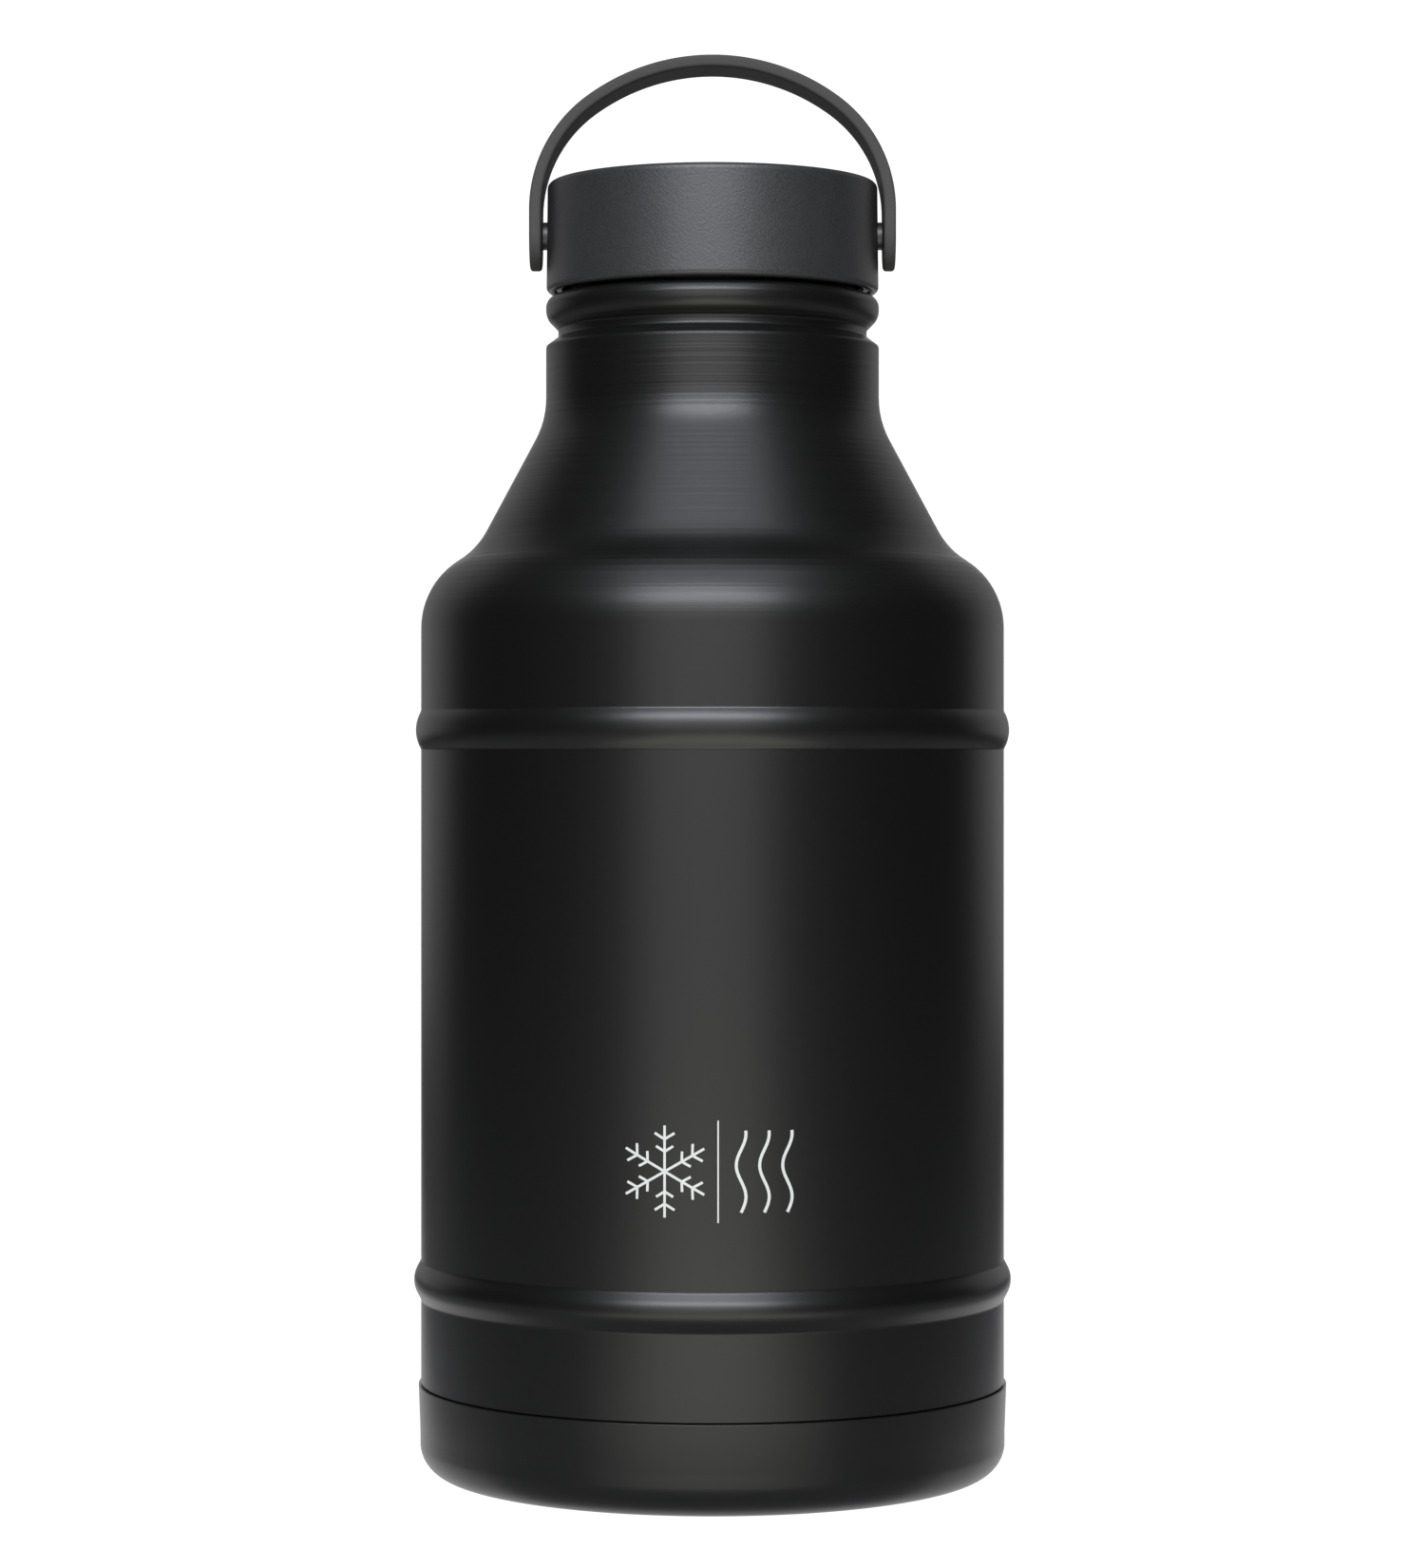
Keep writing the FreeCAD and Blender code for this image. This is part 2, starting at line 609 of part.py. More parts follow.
def main():
    rivet, spacer = make_rivet(), make_spacer()
    parts = {
        "outer_shell": make_outer_shell(),
        "base_cup": make_base_cup(),
        "outer_bottom": make_outer_bottom(),
        "vacuum_seal_bead": make_vacuum_seal_bead(),
        "inner_vessel": make_inner_vessel(),
        "inner_bottom": make_inner_bottom(),
        "radiation_foil": make_radiation_foil(),
        "getter_pill": make_getter_pill(),
        "getter_clip": make_getter_clip(),
        "cap_shell": make_cap_shell(),
        "cap_liner": make_cap_liner(),
        "cap_foam": make_cap_foam(),
        "cap_gasket": make_cap_gasket(),
        "handle": make_handle(),
        "pivot_rivet_right": rivet,
        "pivot_rivet_left": mirrored(rivet),
        "pivot_spacer_right": spacer,
        "pivot_spacer_left": mirrored(spacer),
    }
    os.makedirs("parts", exist_ok=True)
    for name, shape in parts.items():
        if not shape.isValid() or shape.Volume <= 0:
            raise ValueError(f"{name} is not a valid solid")
        shape.exportStep(f"parts/{name}.step")
        print(f"{name:20s} {len(shape.Solids)} solid(s), {shape.Volume / 1000:8.3f} cm3")
    print(f"lip {LIP_Z:.2f}, cap {CAP_Z:.2f} to {CAP_TOP_Z:.2f}, pivot {PIVOT_Z:.2f}, top {HANDLE_TOP_Z:.2f}")


main()
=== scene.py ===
# %% [markdown]
# # An insulated growler, built as a metal spinner and a moulder would make it
#
# Almost every piece of this growler is round about one upright axis, so most of the lesson is about one idea:
# draw half a section, and turn it. The section comes first, the turning is a small Geometry Nodes tree, and
# the same tree makes the steel body, the cap, its liner, the gasket and even the pivots of the handle.
#
# The frame is the packed CAD model. Sizes and places come from it, so that no piece has to be fitted by eye.

# %% Load the frame
import bpy
import bmesh
import math
import numpy as np
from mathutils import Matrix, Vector


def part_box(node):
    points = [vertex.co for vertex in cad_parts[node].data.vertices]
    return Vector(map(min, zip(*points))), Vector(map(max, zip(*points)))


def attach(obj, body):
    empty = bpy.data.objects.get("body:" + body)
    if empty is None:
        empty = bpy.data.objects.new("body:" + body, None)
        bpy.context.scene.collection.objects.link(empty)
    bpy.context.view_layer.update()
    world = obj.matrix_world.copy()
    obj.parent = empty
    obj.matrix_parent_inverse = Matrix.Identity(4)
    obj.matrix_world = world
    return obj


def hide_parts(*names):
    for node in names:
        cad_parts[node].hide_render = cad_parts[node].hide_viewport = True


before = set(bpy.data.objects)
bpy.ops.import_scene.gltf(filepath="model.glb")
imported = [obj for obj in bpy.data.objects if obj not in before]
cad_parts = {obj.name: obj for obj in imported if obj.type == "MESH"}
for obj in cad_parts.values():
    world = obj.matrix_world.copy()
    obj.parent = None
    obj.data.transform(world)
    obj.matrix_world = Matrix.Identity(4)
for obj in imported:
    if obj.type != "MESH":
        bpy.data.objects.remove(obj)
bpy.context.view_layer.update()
MM = 0.001

# %% [markdown]
# ## The camera
#
# A product shot of a bottle is taken level, from about half its height and from some distance, so that its
# sides stay upright. A long lens a little under a metre away does that here. The lens is shifted by a hair,
# because the middle of the view is slightly above the lens.

# %% Camera
CAMERA_DISTANCE = 0.8955
CAMERA_HEIGHT = 0.1477
LENS_MM = 98.18
LENS_SHIFT = -0.0121
SENSOR_MM = 36


def put(name, data):
    """A new object that holds the data, in the scene."""
    made = bpy.data.objects.new(name, data)
    bpy.context.scene.collection.objects.link(made)
    return made


camera = put("camera", bpy.data.cameras.new("camera"))
bpy.context.scene.camera = camera
camera.location = (0, -CAMERA_DISTANCE, CAMERA_HEIGHT)
camera.rotation_euler = (math.pi / 2, 0, 0)
camera.data.sensor_width = SENSOR_MM
camera.data.lens = LENS_MM
camera.data.shift_y = LENS_SHIFT
print("camera", tuple(round(v, 3) for v in camera.location), "lens", LENS_MM, "mm")

# %% [markdown]
# ## Node trees as expressions
#
# Both the shapes and the finishes are node trees. A tree of thirty Math nodes is hard to read as nodes and
# easy to read as a formula. `Value` wraps one socket, and its operators add the Math nodes. The reflected forms
# are there so that `1 - mask` works as well as `mask - 1`.

# %% Values
class Value:
    """One output socket, to be used in a formula."""

    def __init__(self, nodes, socket):
        self.nodes, self.socket = nodes, socket

    def out(self, name):
        """Another output of the same node."""
        return Value(self.nodes, self.socket.node.outputs[name])

    def math(self, operation, *others):
        return self.nodes.make("ShaderNodeMath", {"operation": operation}, dict(enumerate((self, *others))))

    def __add__(self, other):
        return self.math("ADD", other)

    def __sub__(self, other):
        return self.math("SUBTRACT", other)

    def __mul__(self, other):
        return self.math("MULTIPLY", other)

    def __truediv__(self, other):
        return self.math("DIVIDE", other)

    def __radd__(self, other):
        return self.math("ADD", other)

    def __rmul__(self, other):
        return self.math("MULTIPLY", other)

    def __rsub__(self, other):
        return self.nodes.make("ShaderNodeMath", {"operation": "SUBTRACT"}, {0: other, 1: self})

    def __abs__(self):
        return self.math("ABSOLUTE")

    def above(self, limit):
        return self.math("GREATER_THAN", limit)

    def below(self, limit):
        return self.math("LESS_THAN", limit)

    def clamped(self):
        return self.nodes.make("ShaderNodeClamp", {}, {"Value": self})


print("a value knows", ", ".join(name for name in vars(Value) if not name.startswith("_")))

# %% [markdown]
# ### A tree that is being written
#
# Every node comes from one method. Its settings go first, because they can change which sockets it has, and
# then each socket gets a plain number or a link. What it gives back is a value, ready for the next formula.

# %% Nodes
class Nodes:
    """A node tree that is being written."""

    def __init__(self, tree):
        self.tree = tree

    def make(self, kind, settings=None, inputs=None, out=0):
        node = self.tree.nodes.new(kind)
        for name, value in (settings or {}).items():
            setattr(node, name, value)
        for name, value in (inputs or {}).items():
            if isinstance(value, Value):
                self.tree.links.new(value.socket, node.inputs[name])
            else:
                node.inputs[name].default_value = value
        return Value(self, node.outputs[out]) if node.outputs else None

    def vector(self, x, y, z):
        return self.make("ShaderNodeCombineXYZ", {}, {0: x, 1: y, 2: z})

    def parts(self, vector):
        split = self.make("ShaderNodeSeparateXYZ", {}, {0: vector})
        return split, split.out("Y"), split.out("Z")


print("a tree that is being written has", ", ".join(name for name in vars(Nodes) if not name.startswith("_")))

# %% [markdown]
# ### How each modifier tree begins and ends
#
# A tree's sizes are named inputs, so that one tree serves many pieces. All trees end alike: faces are shaded
# smooth, edges that turn sharply are kept hard, instances are made real, and the material is set.

# %% Trees with named inputs
SHARP = math.radians(32)


def geometry_tree(name, sockets):
    """A modifier tree with named inputs. sockets maps each input's name to its socket type and its default."""
    tree = bpy.data.node_groups.new(name, "GeometryNodeTree")
    tree.is_modifier = True
    tree.interface.new_socket("Geometry", in_out="INPUT", socket_type="NodeSocketGeometry")
    tree.interface.new_socket("Geometry", in_out="OUTPUT", socket_type="NodeSocketGeometry")
    for label, (kind, default) in sockets.items():
        socket = tree.interface.new_socket(label, in_out="INPUT", socket_type="NodeSocket" + kind)
        if default is not None:
            socket.default_value = default
    nodes = Nodes(tree)
    start = nodes.make("NodeGroupInput")
    return tree, nodes, start


def end_tree(nodes, geometry, material):
    """Smooth faces, hard edges where the surface turns sharply, and the ending that every tree here has."""
    smooth = nodes.make("GeometryNodeSetShadeSmooth", {"domain": "FACE"}, {"Geometry": geometry})
    edge_turn = nodes.make("GeometryNodeInputMeshEdgeAngle")
    creased = nodes.make(
        "GeometryNodeSetShadeSmooth",
        {"domain": "EDGE"},
        {"Geometry": smooth, "Selection": edge_turn.above(SHARP), "Shade Smooth": False},
    )
    real = nodes.make("GeometryNodeRealizeInstances", {}, {"Geometry": creased})
    painted = nodes.make("GeometryNodeSetMaterial", {}, {"Geometry": real, "Material": material})
    nodes.make("NodeGroupOutput", {}, {"Geometry": painted})


print("edges that turn by more than", round(math.degrees(SHARP)), "degrees stay hard")

# %% [markdown]
# ## Drawing a section
#
# A spinner's drawing is a row of corners, each with a radius. `rounded` turns such a row into points: an arc at
# every corner that has a radius, and the straight runs between. A short step of straight is kept beside each
# arc, because smooth shading blends normals over a whole face, and without it a long flat wall would look as
# if it bent towards its arcs. A sheet's inner wall is the same path, moved sideways by the sheet's thickness.

# %% Sections
ARC_STEP = math.radians(5)
HOLD = 0.25  # mm of straight kept beside each arc
ROOM_FOR_HOLD = 2.5 * HOLD


def direction(a, b):
    step = np.subtract(b[:2], a[:2])
    return step / np.linalg.norm(step)


def moved_left(path, distance):
    """The path moved to its left. A left turn's radius shrinks, and a right turn's grows."""
    out = []
    for i, (r, z, radius) in enumerate(path):
        before = direction(path[i - 1], path[i]) if i else direction(path[0], path[1])
        after = direction(path[i], path[i + 1]) if i < len(path) - 1 else before
        n1, n2 = np.array([-before[1], before[0]]), np.array([-after[1], after[0]])
        move = distance * (n1 + n2) / (1 + n1 @ n2)
        left_turn = before[0] * after[1] - before[1] * after[0] > 0
        radius = max(0.0, radius - distance if left_turn else radius + distance) if radius else 0.0
        out.append((r + move[0], z + move[1], radius))
    return out


def rounded(path):
    """Points along the path, with an arc at each corner that has a radius."""
    points = [np.array(path[0][:2], float)]
    for i in range(1, len(path) - 1):
        corner, radius = np.array(path[i][:2], float), path[i][2]
        a, b = direction(path[i - 1], path[i]), direction(path[i], path[i + 1])
        turn = math.acos(float(np.clip(a @ b, -1, 1)))
        if not radius or turn < 1e-4:
            points.append(corner)
            continue
        back = radius * math.tan(turn / 2)
        side = 1 if a[0] * b[1] - a[1] * b[0] > 0 else -1
        centre = corner - a * back + side * radius * np.array([-a[1], a[0]])
        start_angle = math.atan2(*(corner - a * back - centre)[::-1])
        steps = max(3, math.ceil(turn / ARC_STEP))
        arc = [
            centre + radius * np.array([math.cos(t), math.sin(t)])
            for t in start_angle + side * turn * np.linspace(0, 1, steps + 1)
        ]
        room = np.linalg.norm(arc[0] - points[-1])
        if room > ROOM_FOR_HOLD:
            points += [points[-1] + a * HOLD, arc[0] - a * HOLD]
        points += arc if room > 1e-4 else arc[1:]
    end = np.array(path[-1][:2], float)
    if np.linalg.norm(end - points[-1]) > ROOM_FOR_HOLD:
        points.append(points[-1] + direction(points[-1], end) * HOLD)
    return points + [end]


print("a quarter arc of 10 mm has", len(rounded([(0, 0, 0), (20, 0, 10), (20, 20, 0)])), "points")

# %% [markdown]
# ### Sheets, solids and fine rows
#
# A pressed piece is a path with a thickness, and a moulded one is a path that closes. Where a thread will be
# rolled, the wall needs rows of points close enough together to draw the ridge's flanks.

# %% Kinds of section
NEAR = 0.01  # mm within which a point is on a wall


def with_rows(points, radius, step):
    """The same points, with the upright runs at one radius cut into short rows."""
    out = [points[0]]
    for a, b in zip(points, points[1:]):
        on_wall = max(abs(a[0] - radius), abs(b[0] - radius)) < NEAR
        rows = max(1, round(np.linalg.norm(b - a) / step)) if on_wall else 1
        out += [a + (b - a) * k / rows for k in range(1, rows + 1)]
    return out


def sheet(path, thickness, edge=0.0):
    """A closed section of even thickness. The path is the outer face, and the wall lies to its left."""
    inner = moved_left(path, thickness)[::-1]
    outer = path[:-1] + [(*path[-1][:2], edge)]
    return rounded(outer + [(*inner[0][:2], edge)] + inner[1:])


def closed(path):
    """A closed section from corners that start at a plain one."""
    return rounded(path + [(*path[0][:2], 0)])


print("a 1 mm sheet round that corner has", len(sheet([(0, 0, 0), (20, 0, 10), (20, 20, 0)], 1)), "points")

# %% [markdown]
# ## Turning it: the lathe
#
# A Spin modifier or bmesh would turn a section as well. Geometry Nodes are used because the tree can also
# roll a screw thread into the wall while it turns it, and because its sizes stay named inputs. A grid supplies
# the faces: its rows take their radius and height from the section's points, and its columns take their angle.
# Then the seam and the poles are merged, so that the piece is one closed surface.
#
# The thread is a ridge whose middle rises by one lead in each turn. For a point at height z, the nearest turn
# of the ridge is found by rounding, and the wall moves by a trapezium of the distance to it. The ridge fades
# over a tenth of a turn at each end, as a rolled thread does.

# %% The lathe tree
LATHE_INPUTS = {
    "Columns": ("Int", 256),
    "Thread Height": ("Float", 0.0),
    "Thread Low": ("Float", 0.0),
    "Thread High": ("Float", 0.0),
    "Wall Radius": ("Float", 0.0),
    "First Turn": ("Float", 0.0),
    "Lead": ("Float", 0.004),
    "Turns": ("Float", 1.5),
    "Root Width": ("Float", 0.0022),
    "Crest Width": ("Float", 0.0010),
    "Rotation": ("Vector", None),
    "Place": ("Vector", None),
    "Material": ("Material", None),
}


ON_WALL = 2e-5  # metres
FADE = 10  # the ridge fades over one over this of a turn


def make_lathe_tree():
    tree, nodes, start = geometry_tree("lathe", LATHE_INPUTS)
    get = start.out
    section = get("Geometry")
    count = nodes.make("GeometryNodeAttributeDomainSize", {"component": "MESH"}, {"Geometry": section})
    columns = get("Columns")
    grid = nodes.make(
        "GeometryNodeMeshGrid", {}, {"Size X": 1.0, "Size Y": 1.0, "Vertices X": count, "Vertices Y": columns + 1}
    )
    x, y, _ = nodes.parts(nodes.make("GeometryNodeInputPosition"))
    row = ((x + 0.5) * (count - 1)).math("ROUND")
    turn = y + 0.5
    point = nodes.make(
        "GeometryNodeSampleIndex",
        {"data_type": "FLOAT_VECTOR", "domain": "POINT"},
        {"Geometry": section, "Value": nodes.make("GeometryNodeInputPosition"), "Index": row},
    )
    radius, _, height = nodes.parts(point)

    # The screw thread, only on the straight wall.
    turns_up = (height - get("First Turn")) / get("Lead") - turn
    nearest = turns_up.math("ROUND")
    off_ridge = abs(turns_up - nearest) * get("Lead")
    flank = (get("Root Width") - get("Crest Width")) * 0.5
    ridge = ((get("Root Width") * 0.5 - off_ridge) / flank).clamped()
    along = nearest + turn
    fade = (along * FADE).clamped() * ((get("Turns") - along) * FADE).clamped()
    in_zone = height.above(get("Thread Low")) * height.below(get("Thread High"))
    on_wall = abs(radius - get("Wall Radius")).below(ON_WALL)
    radius = radius + ridge * fade * in_zone * on_wall * get("Thread Height")

    angle = turn * (2 * math.pi)
    place = nodes.vector(radius * angle.math("COSINE"), radius * angle.math("SINE"), height)
    turned = nodes.make("GeometryNodeSetPosition", {}, {"Geometry": grid, "Position": place})
    closed = nodes.make("GeometryNodeMergeByDistance", {}, {"Geometry": turned, "Distance": 1e-6})
    outward = nodes.make("GeometryNodeFlipFaces", {}, {"Mesh": closed})
    placed = nodes.make(
        "GeometryNodeTransform", {}, {"Geometry": outward, "Translation": get("Place"), "Rotation": get("Rotation")}
    )
    end_tree(nodes, placed, get("Material"))
    return tree


lathe_tree = make_lathe_tree()
print("lathe tree:", len(lathe_tree.nodes), "nodes")

# %% [markdown]
# ## From a tree to a finished piece
#
# A tree runs as a modifier. The result is read back as a plain mesh, and the object that carried the modifier
# goes away, so that what rides on a CAD body is only a mesh at the origin with its place in its points.

# %% Running a tree
def run_tree(tree, mesh, inputs):
    """The plain mesh that the tree makes out of a mesh or a curve."""
    carrier = put("carrier", mesh)
    modifier = carrier.modifiers.new("tree", "NODES")
    modifier.node_group = tree
    names = {item.name: item.identifier for item in tree.interface.items_tree if item.in_out == "INPUT"}
    for name, value in inputs.items():
        modifier[names[name]] = value
    carrier.update_tag()
    graph = bpy.context.evaluated_depsgraph_get()
    result = bpy.data.meshes.new_from_object(carrier.evaluated_get(graph), depsgraph=graph)
    bpy.data.objects.remove(carrier)
    return result


print("modifier trees so far:", len(bpy.data.node_groups))

# %% [markdown]
# ### Finished pieces
#
# A finished piece rides on one CAD body and stands in for its CAD nodes; its material is the one that its tree
# set. Its volume is printed, because a shape that is inside out has a negative one.

# %% Pieces
def volume_of(mesh):
    work = bmesh.new()
    work.from_mesh(mesh)
    volume = work.calc_volume(signed=True)
    work.free()
    return volume / MM**3 / 1000


def finish_piece(name, mesh, body, nodes):
    """Puts the mesh in the scene as a named piece, in place of the CAD nodes that it stands for."""
    mesh.name = name
    piece = put(name, mesh)
    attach(piece, body)
    if nodes:
        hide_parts(*nodes)
    print(f"{name}: {len(mesh.polygons)} faces, {volume_of(mesh):.3f} cm3")
    return piece


def outline_mesh(points):
    """The section as a row of points in the x-z plane, closed, with its material on the left."""
    points = [np.asarray(p, float) for p in points]
    area = sum(a[0] * b[1] - b[0] * a[1] for a, b in zip(points, points[1:] + points[:1]))
    if area < 0:
        points = points[::-1]
    if np.linalg.norm(points[0] - points[-1]) > 1e-6:
        points.append(points[0])
    mesh = bpy.data.meshes.new("section")
    mesh.from_pydata([(r * MM, 0, z * MM) for r, z in points], [(i, i + 1) for i in range(len(points) - 1)], [])
    return mesh


def turned(points, material, columns, **more):
    """A round mesh. Inputs of the tree are given by name, with spaces as underscores."""
    inputs = {name.replace("_", " "): value for name, value in more.items()}
    return run_tree(lathe_tree, outline_mesh(points), {"Columns": columns, "Material": material, **inputs})


def turned_piece(name, points, material, columns, body, slot, node, **more):
    """A finished round piece."""
    return finish_piece(name, turned(points, material, columns, **more), body, [node])


print("the lathe's inputs are", ", ".join(LATHE_INPUTS))

# %% [markdown]
# ## Finishes
#
# Every finish is a Principled shader. A number that is the same all over is typed on the shader's own socket,
# and only what changes over the surface is linked: colour, roughness and the normal. All patterns are made
# from object coordinates, in metres, so a noise of scale 1000 has grains of about a millimetre.

# %% A finish
def make_finish(name, constants, vary):
    """A material. constants go on the shader's sockets, and vary returns what changes over the surface."""
    material = bpy.data.materials.new(name)
    material.use_nodes = True
    material.node_tree.nodes.clear()
    nodes = Nodes(material.node_tree)
    place = nodes.make("ShaderNodeTexCoord").out("Object")
    linked = vary(nodes, place)
    shader = nodes.make("ShaderNodeBsdfPrincipled", {}, {**constants, **linked})
    nodes.make("ShaderNodeOutputMaterial", {}, {"Surface": shader})
    return material


def grain(nodes, place, size, detail=2.0, stretch=None):
    """Noise with grains of the given size in metres. stretch scales the coordinates first."""
    if stretch:
        place = nodes.make("ShaderNodeMapping", {}, {"Vector": place, "Scale": stretch})
    return nodes.make("ShaderNodeTexNoise", {}, {"Vector": place, "Scale": 1 / size, "Detail": detail})


def rings(nodes, place, size, detail=3.0):
    """Noise that changes only with height: the lines that a spinning or a polishing lathe leaves."""
    _, _, height = nodes.parts(place)
    inputs = {"W": height, "Scale": 1 / size, "Detail": detail}
    return nodes.make("ShaderNodeTexNoise", {"noise_dimensions": "1D"}, inputs)


def relief(nodes, height, depth, strength=1.0, under=None):
    """A bump of the given depth in metres, on top of another bump."""
    inputs = {"Height": height, "Distance": depth, "Strength": strength}
    if under:
        inputs["Normal"] = under
    return nodes.make("ShaderNodeBump", {}, inputs)


def tone(nodes, mask, dark, light):
    """A colour between two, chosen by a mask from 0 to 1."""
    return nodes.make("ShaderNodeMix", {"data_type": "RGBA"}, {0: mask, 6: (*dark, 1), 7: (*light, 1)}, out=2)


print("finish helpers ready")


# %% [markdown]
# ### The coats
#
# Powder coat is melted on, so it has a shallow orange peel under its satin gloss, and it softens the lines
# that spinning leaves on the cone and neck without hiding them. The straight wall was drawn, not spun, so the
# lines fade out below the shoulder. The handle's coat is a lighter and much rougher grey: its underside stays
# dark above a white table, which a glossier coat would mirror.

# %% Powder coats
SHOULDER_Z = 176.3


def powder_coat(nodes, place):
    _, _, height = nodes.parts(place)
    peel = grain(nodes, place, 1.3 * MM)
    dust = grain(nodes, place, 0.35 * MM, 1.0)
    spun = ((height - SHOULDER_Z * MM) * 200).clamped()
    lines = rings(nodes, place, 0.9 * MM)
    normal = relief(nodes, lines * spun, 0.07 * MM, 0.8)
    return {
        "Base Color": tone(nodes, dust, (0.0012, 0.0013, 0.0011), (0.0026, 0.0027, 0.0024)),
        "Roughness": 0.32 + dust * 0.05 + lines * spun * 0.05,
        "Normal": relief(nodes, peel, 0.012 * MM, 0.5, normal),
    }


def handle_coat(nodes, place):
    peel = grain(nodes, place, 0.9 * MM)
    dust = grain(nodes, place, 0.3 * MM, 1.0)
    return {
        "Base Color": tone(nodes, dust, (0.0285, 0.0277, 0.0270), (0.0395, 0.0385, 0.0375)),
        "Roughness": 0.74 + dust * 0.08,
        "Normal": relief(nodes, peel, 0.012 * MM, 0.5),
    }


coat_black = make_finish("black_powder_coat", {"Specular IOR Level": 0.27}, powder_coat)
coat_grey = make_finish("grey_handle_coat", {"Specular IOR Level": 0.12}, handle_coat)
print("coats:", coat_black.name, "and", coat_grey.name)

# %% [markdown]
# ### The plastics, the rubber and the foam
#
# The cap is moulded in a spark-eroded tool, which leaves a fine, even, matt grain. Its liner comes from a
# polished tool, because it has to wipe clean. The gasket is milky silicone, and light goes a little way in.

# %% Moulded finishes
def spark_plastic(nodes, place):
    pits = grain(nodes, place, 0.5 * MM, 3.0)
    cloud = grain(nodes, place, 6 * MM, 2.0)
    return {
        "Base Color": tone(nodes, pits * 0.7 + cloud * 0.3, (0.0075, 0.0077, 0.0082), (0.0205, 0.0208, 0.0217)),
        "Roughness": 0.36 + pits * 0.16,
        "Normal": relief(nodes, pits, 0.07 * MM, 0.7),
    }


def polished_plastic(nodes, place):
    flow = grain(nodes, place, 14 * MM, 2.0, (1, 1, 3))
    return {
        "Base Color": tone(nodes, flow, (0.060, 0.060, 0.062), (0.080, 0.080, 0.082)),
        "Roughness": 0.30 + flow * 0.10,
        "Normal": relief(nodes, grain(nodes, place, 2.5 * MM), 0.01 * MM, 0.4),
    }


def silicone_rubber(nodes, place):
    haze = grain(nodes, place, 3 * MM)
    return {
        "Base Color": tone(nodes, haze, (0.66, 0.65, 0.61), (0.76, 0.75, 0.71)),
        "Roughness": 0.42 + haze * 0.12,
    }


def insulating_foam(nodes, place):
    cells = nodes.make("ShaderNodeTexVoronoi", {"feature": "F1"}, {"Vector": place, "Scale": 1 / (1.6 * MM)})
    return {
        "Base Color": tone(nodes, cells, (0.86, 0.86, 0.83), (0.74, 0.74, 0.71)),
        "Roughness": 0.70 + cells * 0.15,
        "Normal": relief(nodes, 1 - cells, 0.15 * MM, 0.6),
    }


def nylon(nodes, place):
    haze = grain(nodes, place, 0.8 * MM)
    return {
        "Base Color": tone(nodes, haze, (0.018, 0.018, 0.018), (0.030, 0.030, 0.030)),
        "Roughness": 0.38 + haze * 0.10,
    }


plastic_grey = make_finish("spark_grained_plastic", {"IOR": 1.45}, spark_plastic)
plastic_liner = make_finish("polished_plastic", {"IOR": 1.49}, polished_plastic)
milkiness = {"Subsurface Weight": 0.35, "Subsurface Radius": (0.002, 0.002, 0.0018)}
rubber_milky = make_finish("milky_silicone", {"IOR": 1.41, **milkiness}, silicone_rubber)
foam_white = make_finish("closed_cell_foam", {"IOR": 1.3}, insulating_foam)
nylon_black = make_finish("black_nylon", {"IOR": 1.53}, nylon)
moulded = (plastic_grey, plastic_liner, rubber_milky, foam_white, nylon_black)
print("moulded finishes:", ", ".join(finish.name for finish in moulded))

# %% [markdown]
# ### The bare metals and the glass
#
# The vessel is polished round and round, so its lines are rings. The plate at the shell's bottom is left as it
# came from the press. The foil crinkles where it was wrapped: a Voronoi pattern gives flat facets with folds
# between them.

# %% Metal and glass finishes
def polished_steel(nodes, place):
    lines = rings(nodes, place, 0.35 * MM, 4.0)
    smear = grain(nodes, place, 18 * MM, 2.0)
    return {
        "Base Color": tone(nodes, smear, (0.58, 0.57, 0.55), (0.68, 0.67, 0.65)),
        "Roughness": 0.20 + lines * 0.12 + smear * 0.05,
        "Normal": relief(nodes, lines, 0.01 * MM, 0.4),
    }


def rolled_steel(nodes, place):
    lines = grain(nodes, place, 0.5 * MM, 3.0, (1, 0.04, 1))
    return {
        "Base Color": tone(nodes, lines, (0.46, 0.46, 0.45), (0.60, 0.60, 0.59)),
        "Roughness": 0.34 + lines * 0.14,
        "Normal": relief(nodes, lines, 0.008 * MM, 0.4),
    }


def crinkled_copper(nodes, place):
    folds = nodes.make(
        "ShaderNodeTexVoronoi", {"feature": "DISTANCE_TO_EDGE"}, {"Vector": place, "Scale": 1 / (11 * MM)}
    )
    waves = grain(nodes, place, 5 * MM, 3.0)
    return {
        "Base Color": tone(nodes, waves, (0.80, 0.42, 0.28), (0.93, 0.56, 0.40)),
        "Roughness": 0.18 + waves * 0.14,
        "Normal": relief(nodes, folds + waves * 0.3, 0.5 * MM, 0.5),
    }


def sintered_metal(nodes, place):
    grit = grain(nodes, place, 0.25 * MM, 4.0)
    return {
        "Base Color": tone(nodes, grit, (0.16, 0.16, 0.17), (0.34, 0.34, 0.35)),
        "Roughness": 0.62 + grit * 0.2,
        "Normal": relief(nodes, grit, 0.06 * MM, 0.6),
    }


def fused_glass(nodes, place):
    bubbles = grain(nodes, place, 0.6 * MM)
    return {
        "Base Color": tone(nodes, bubbles, (0.05, 0.06, 0.05), (0.11, 0.13, 0.11)),
        "Roughness": 0.10 + bubbles * 0.08,
    }


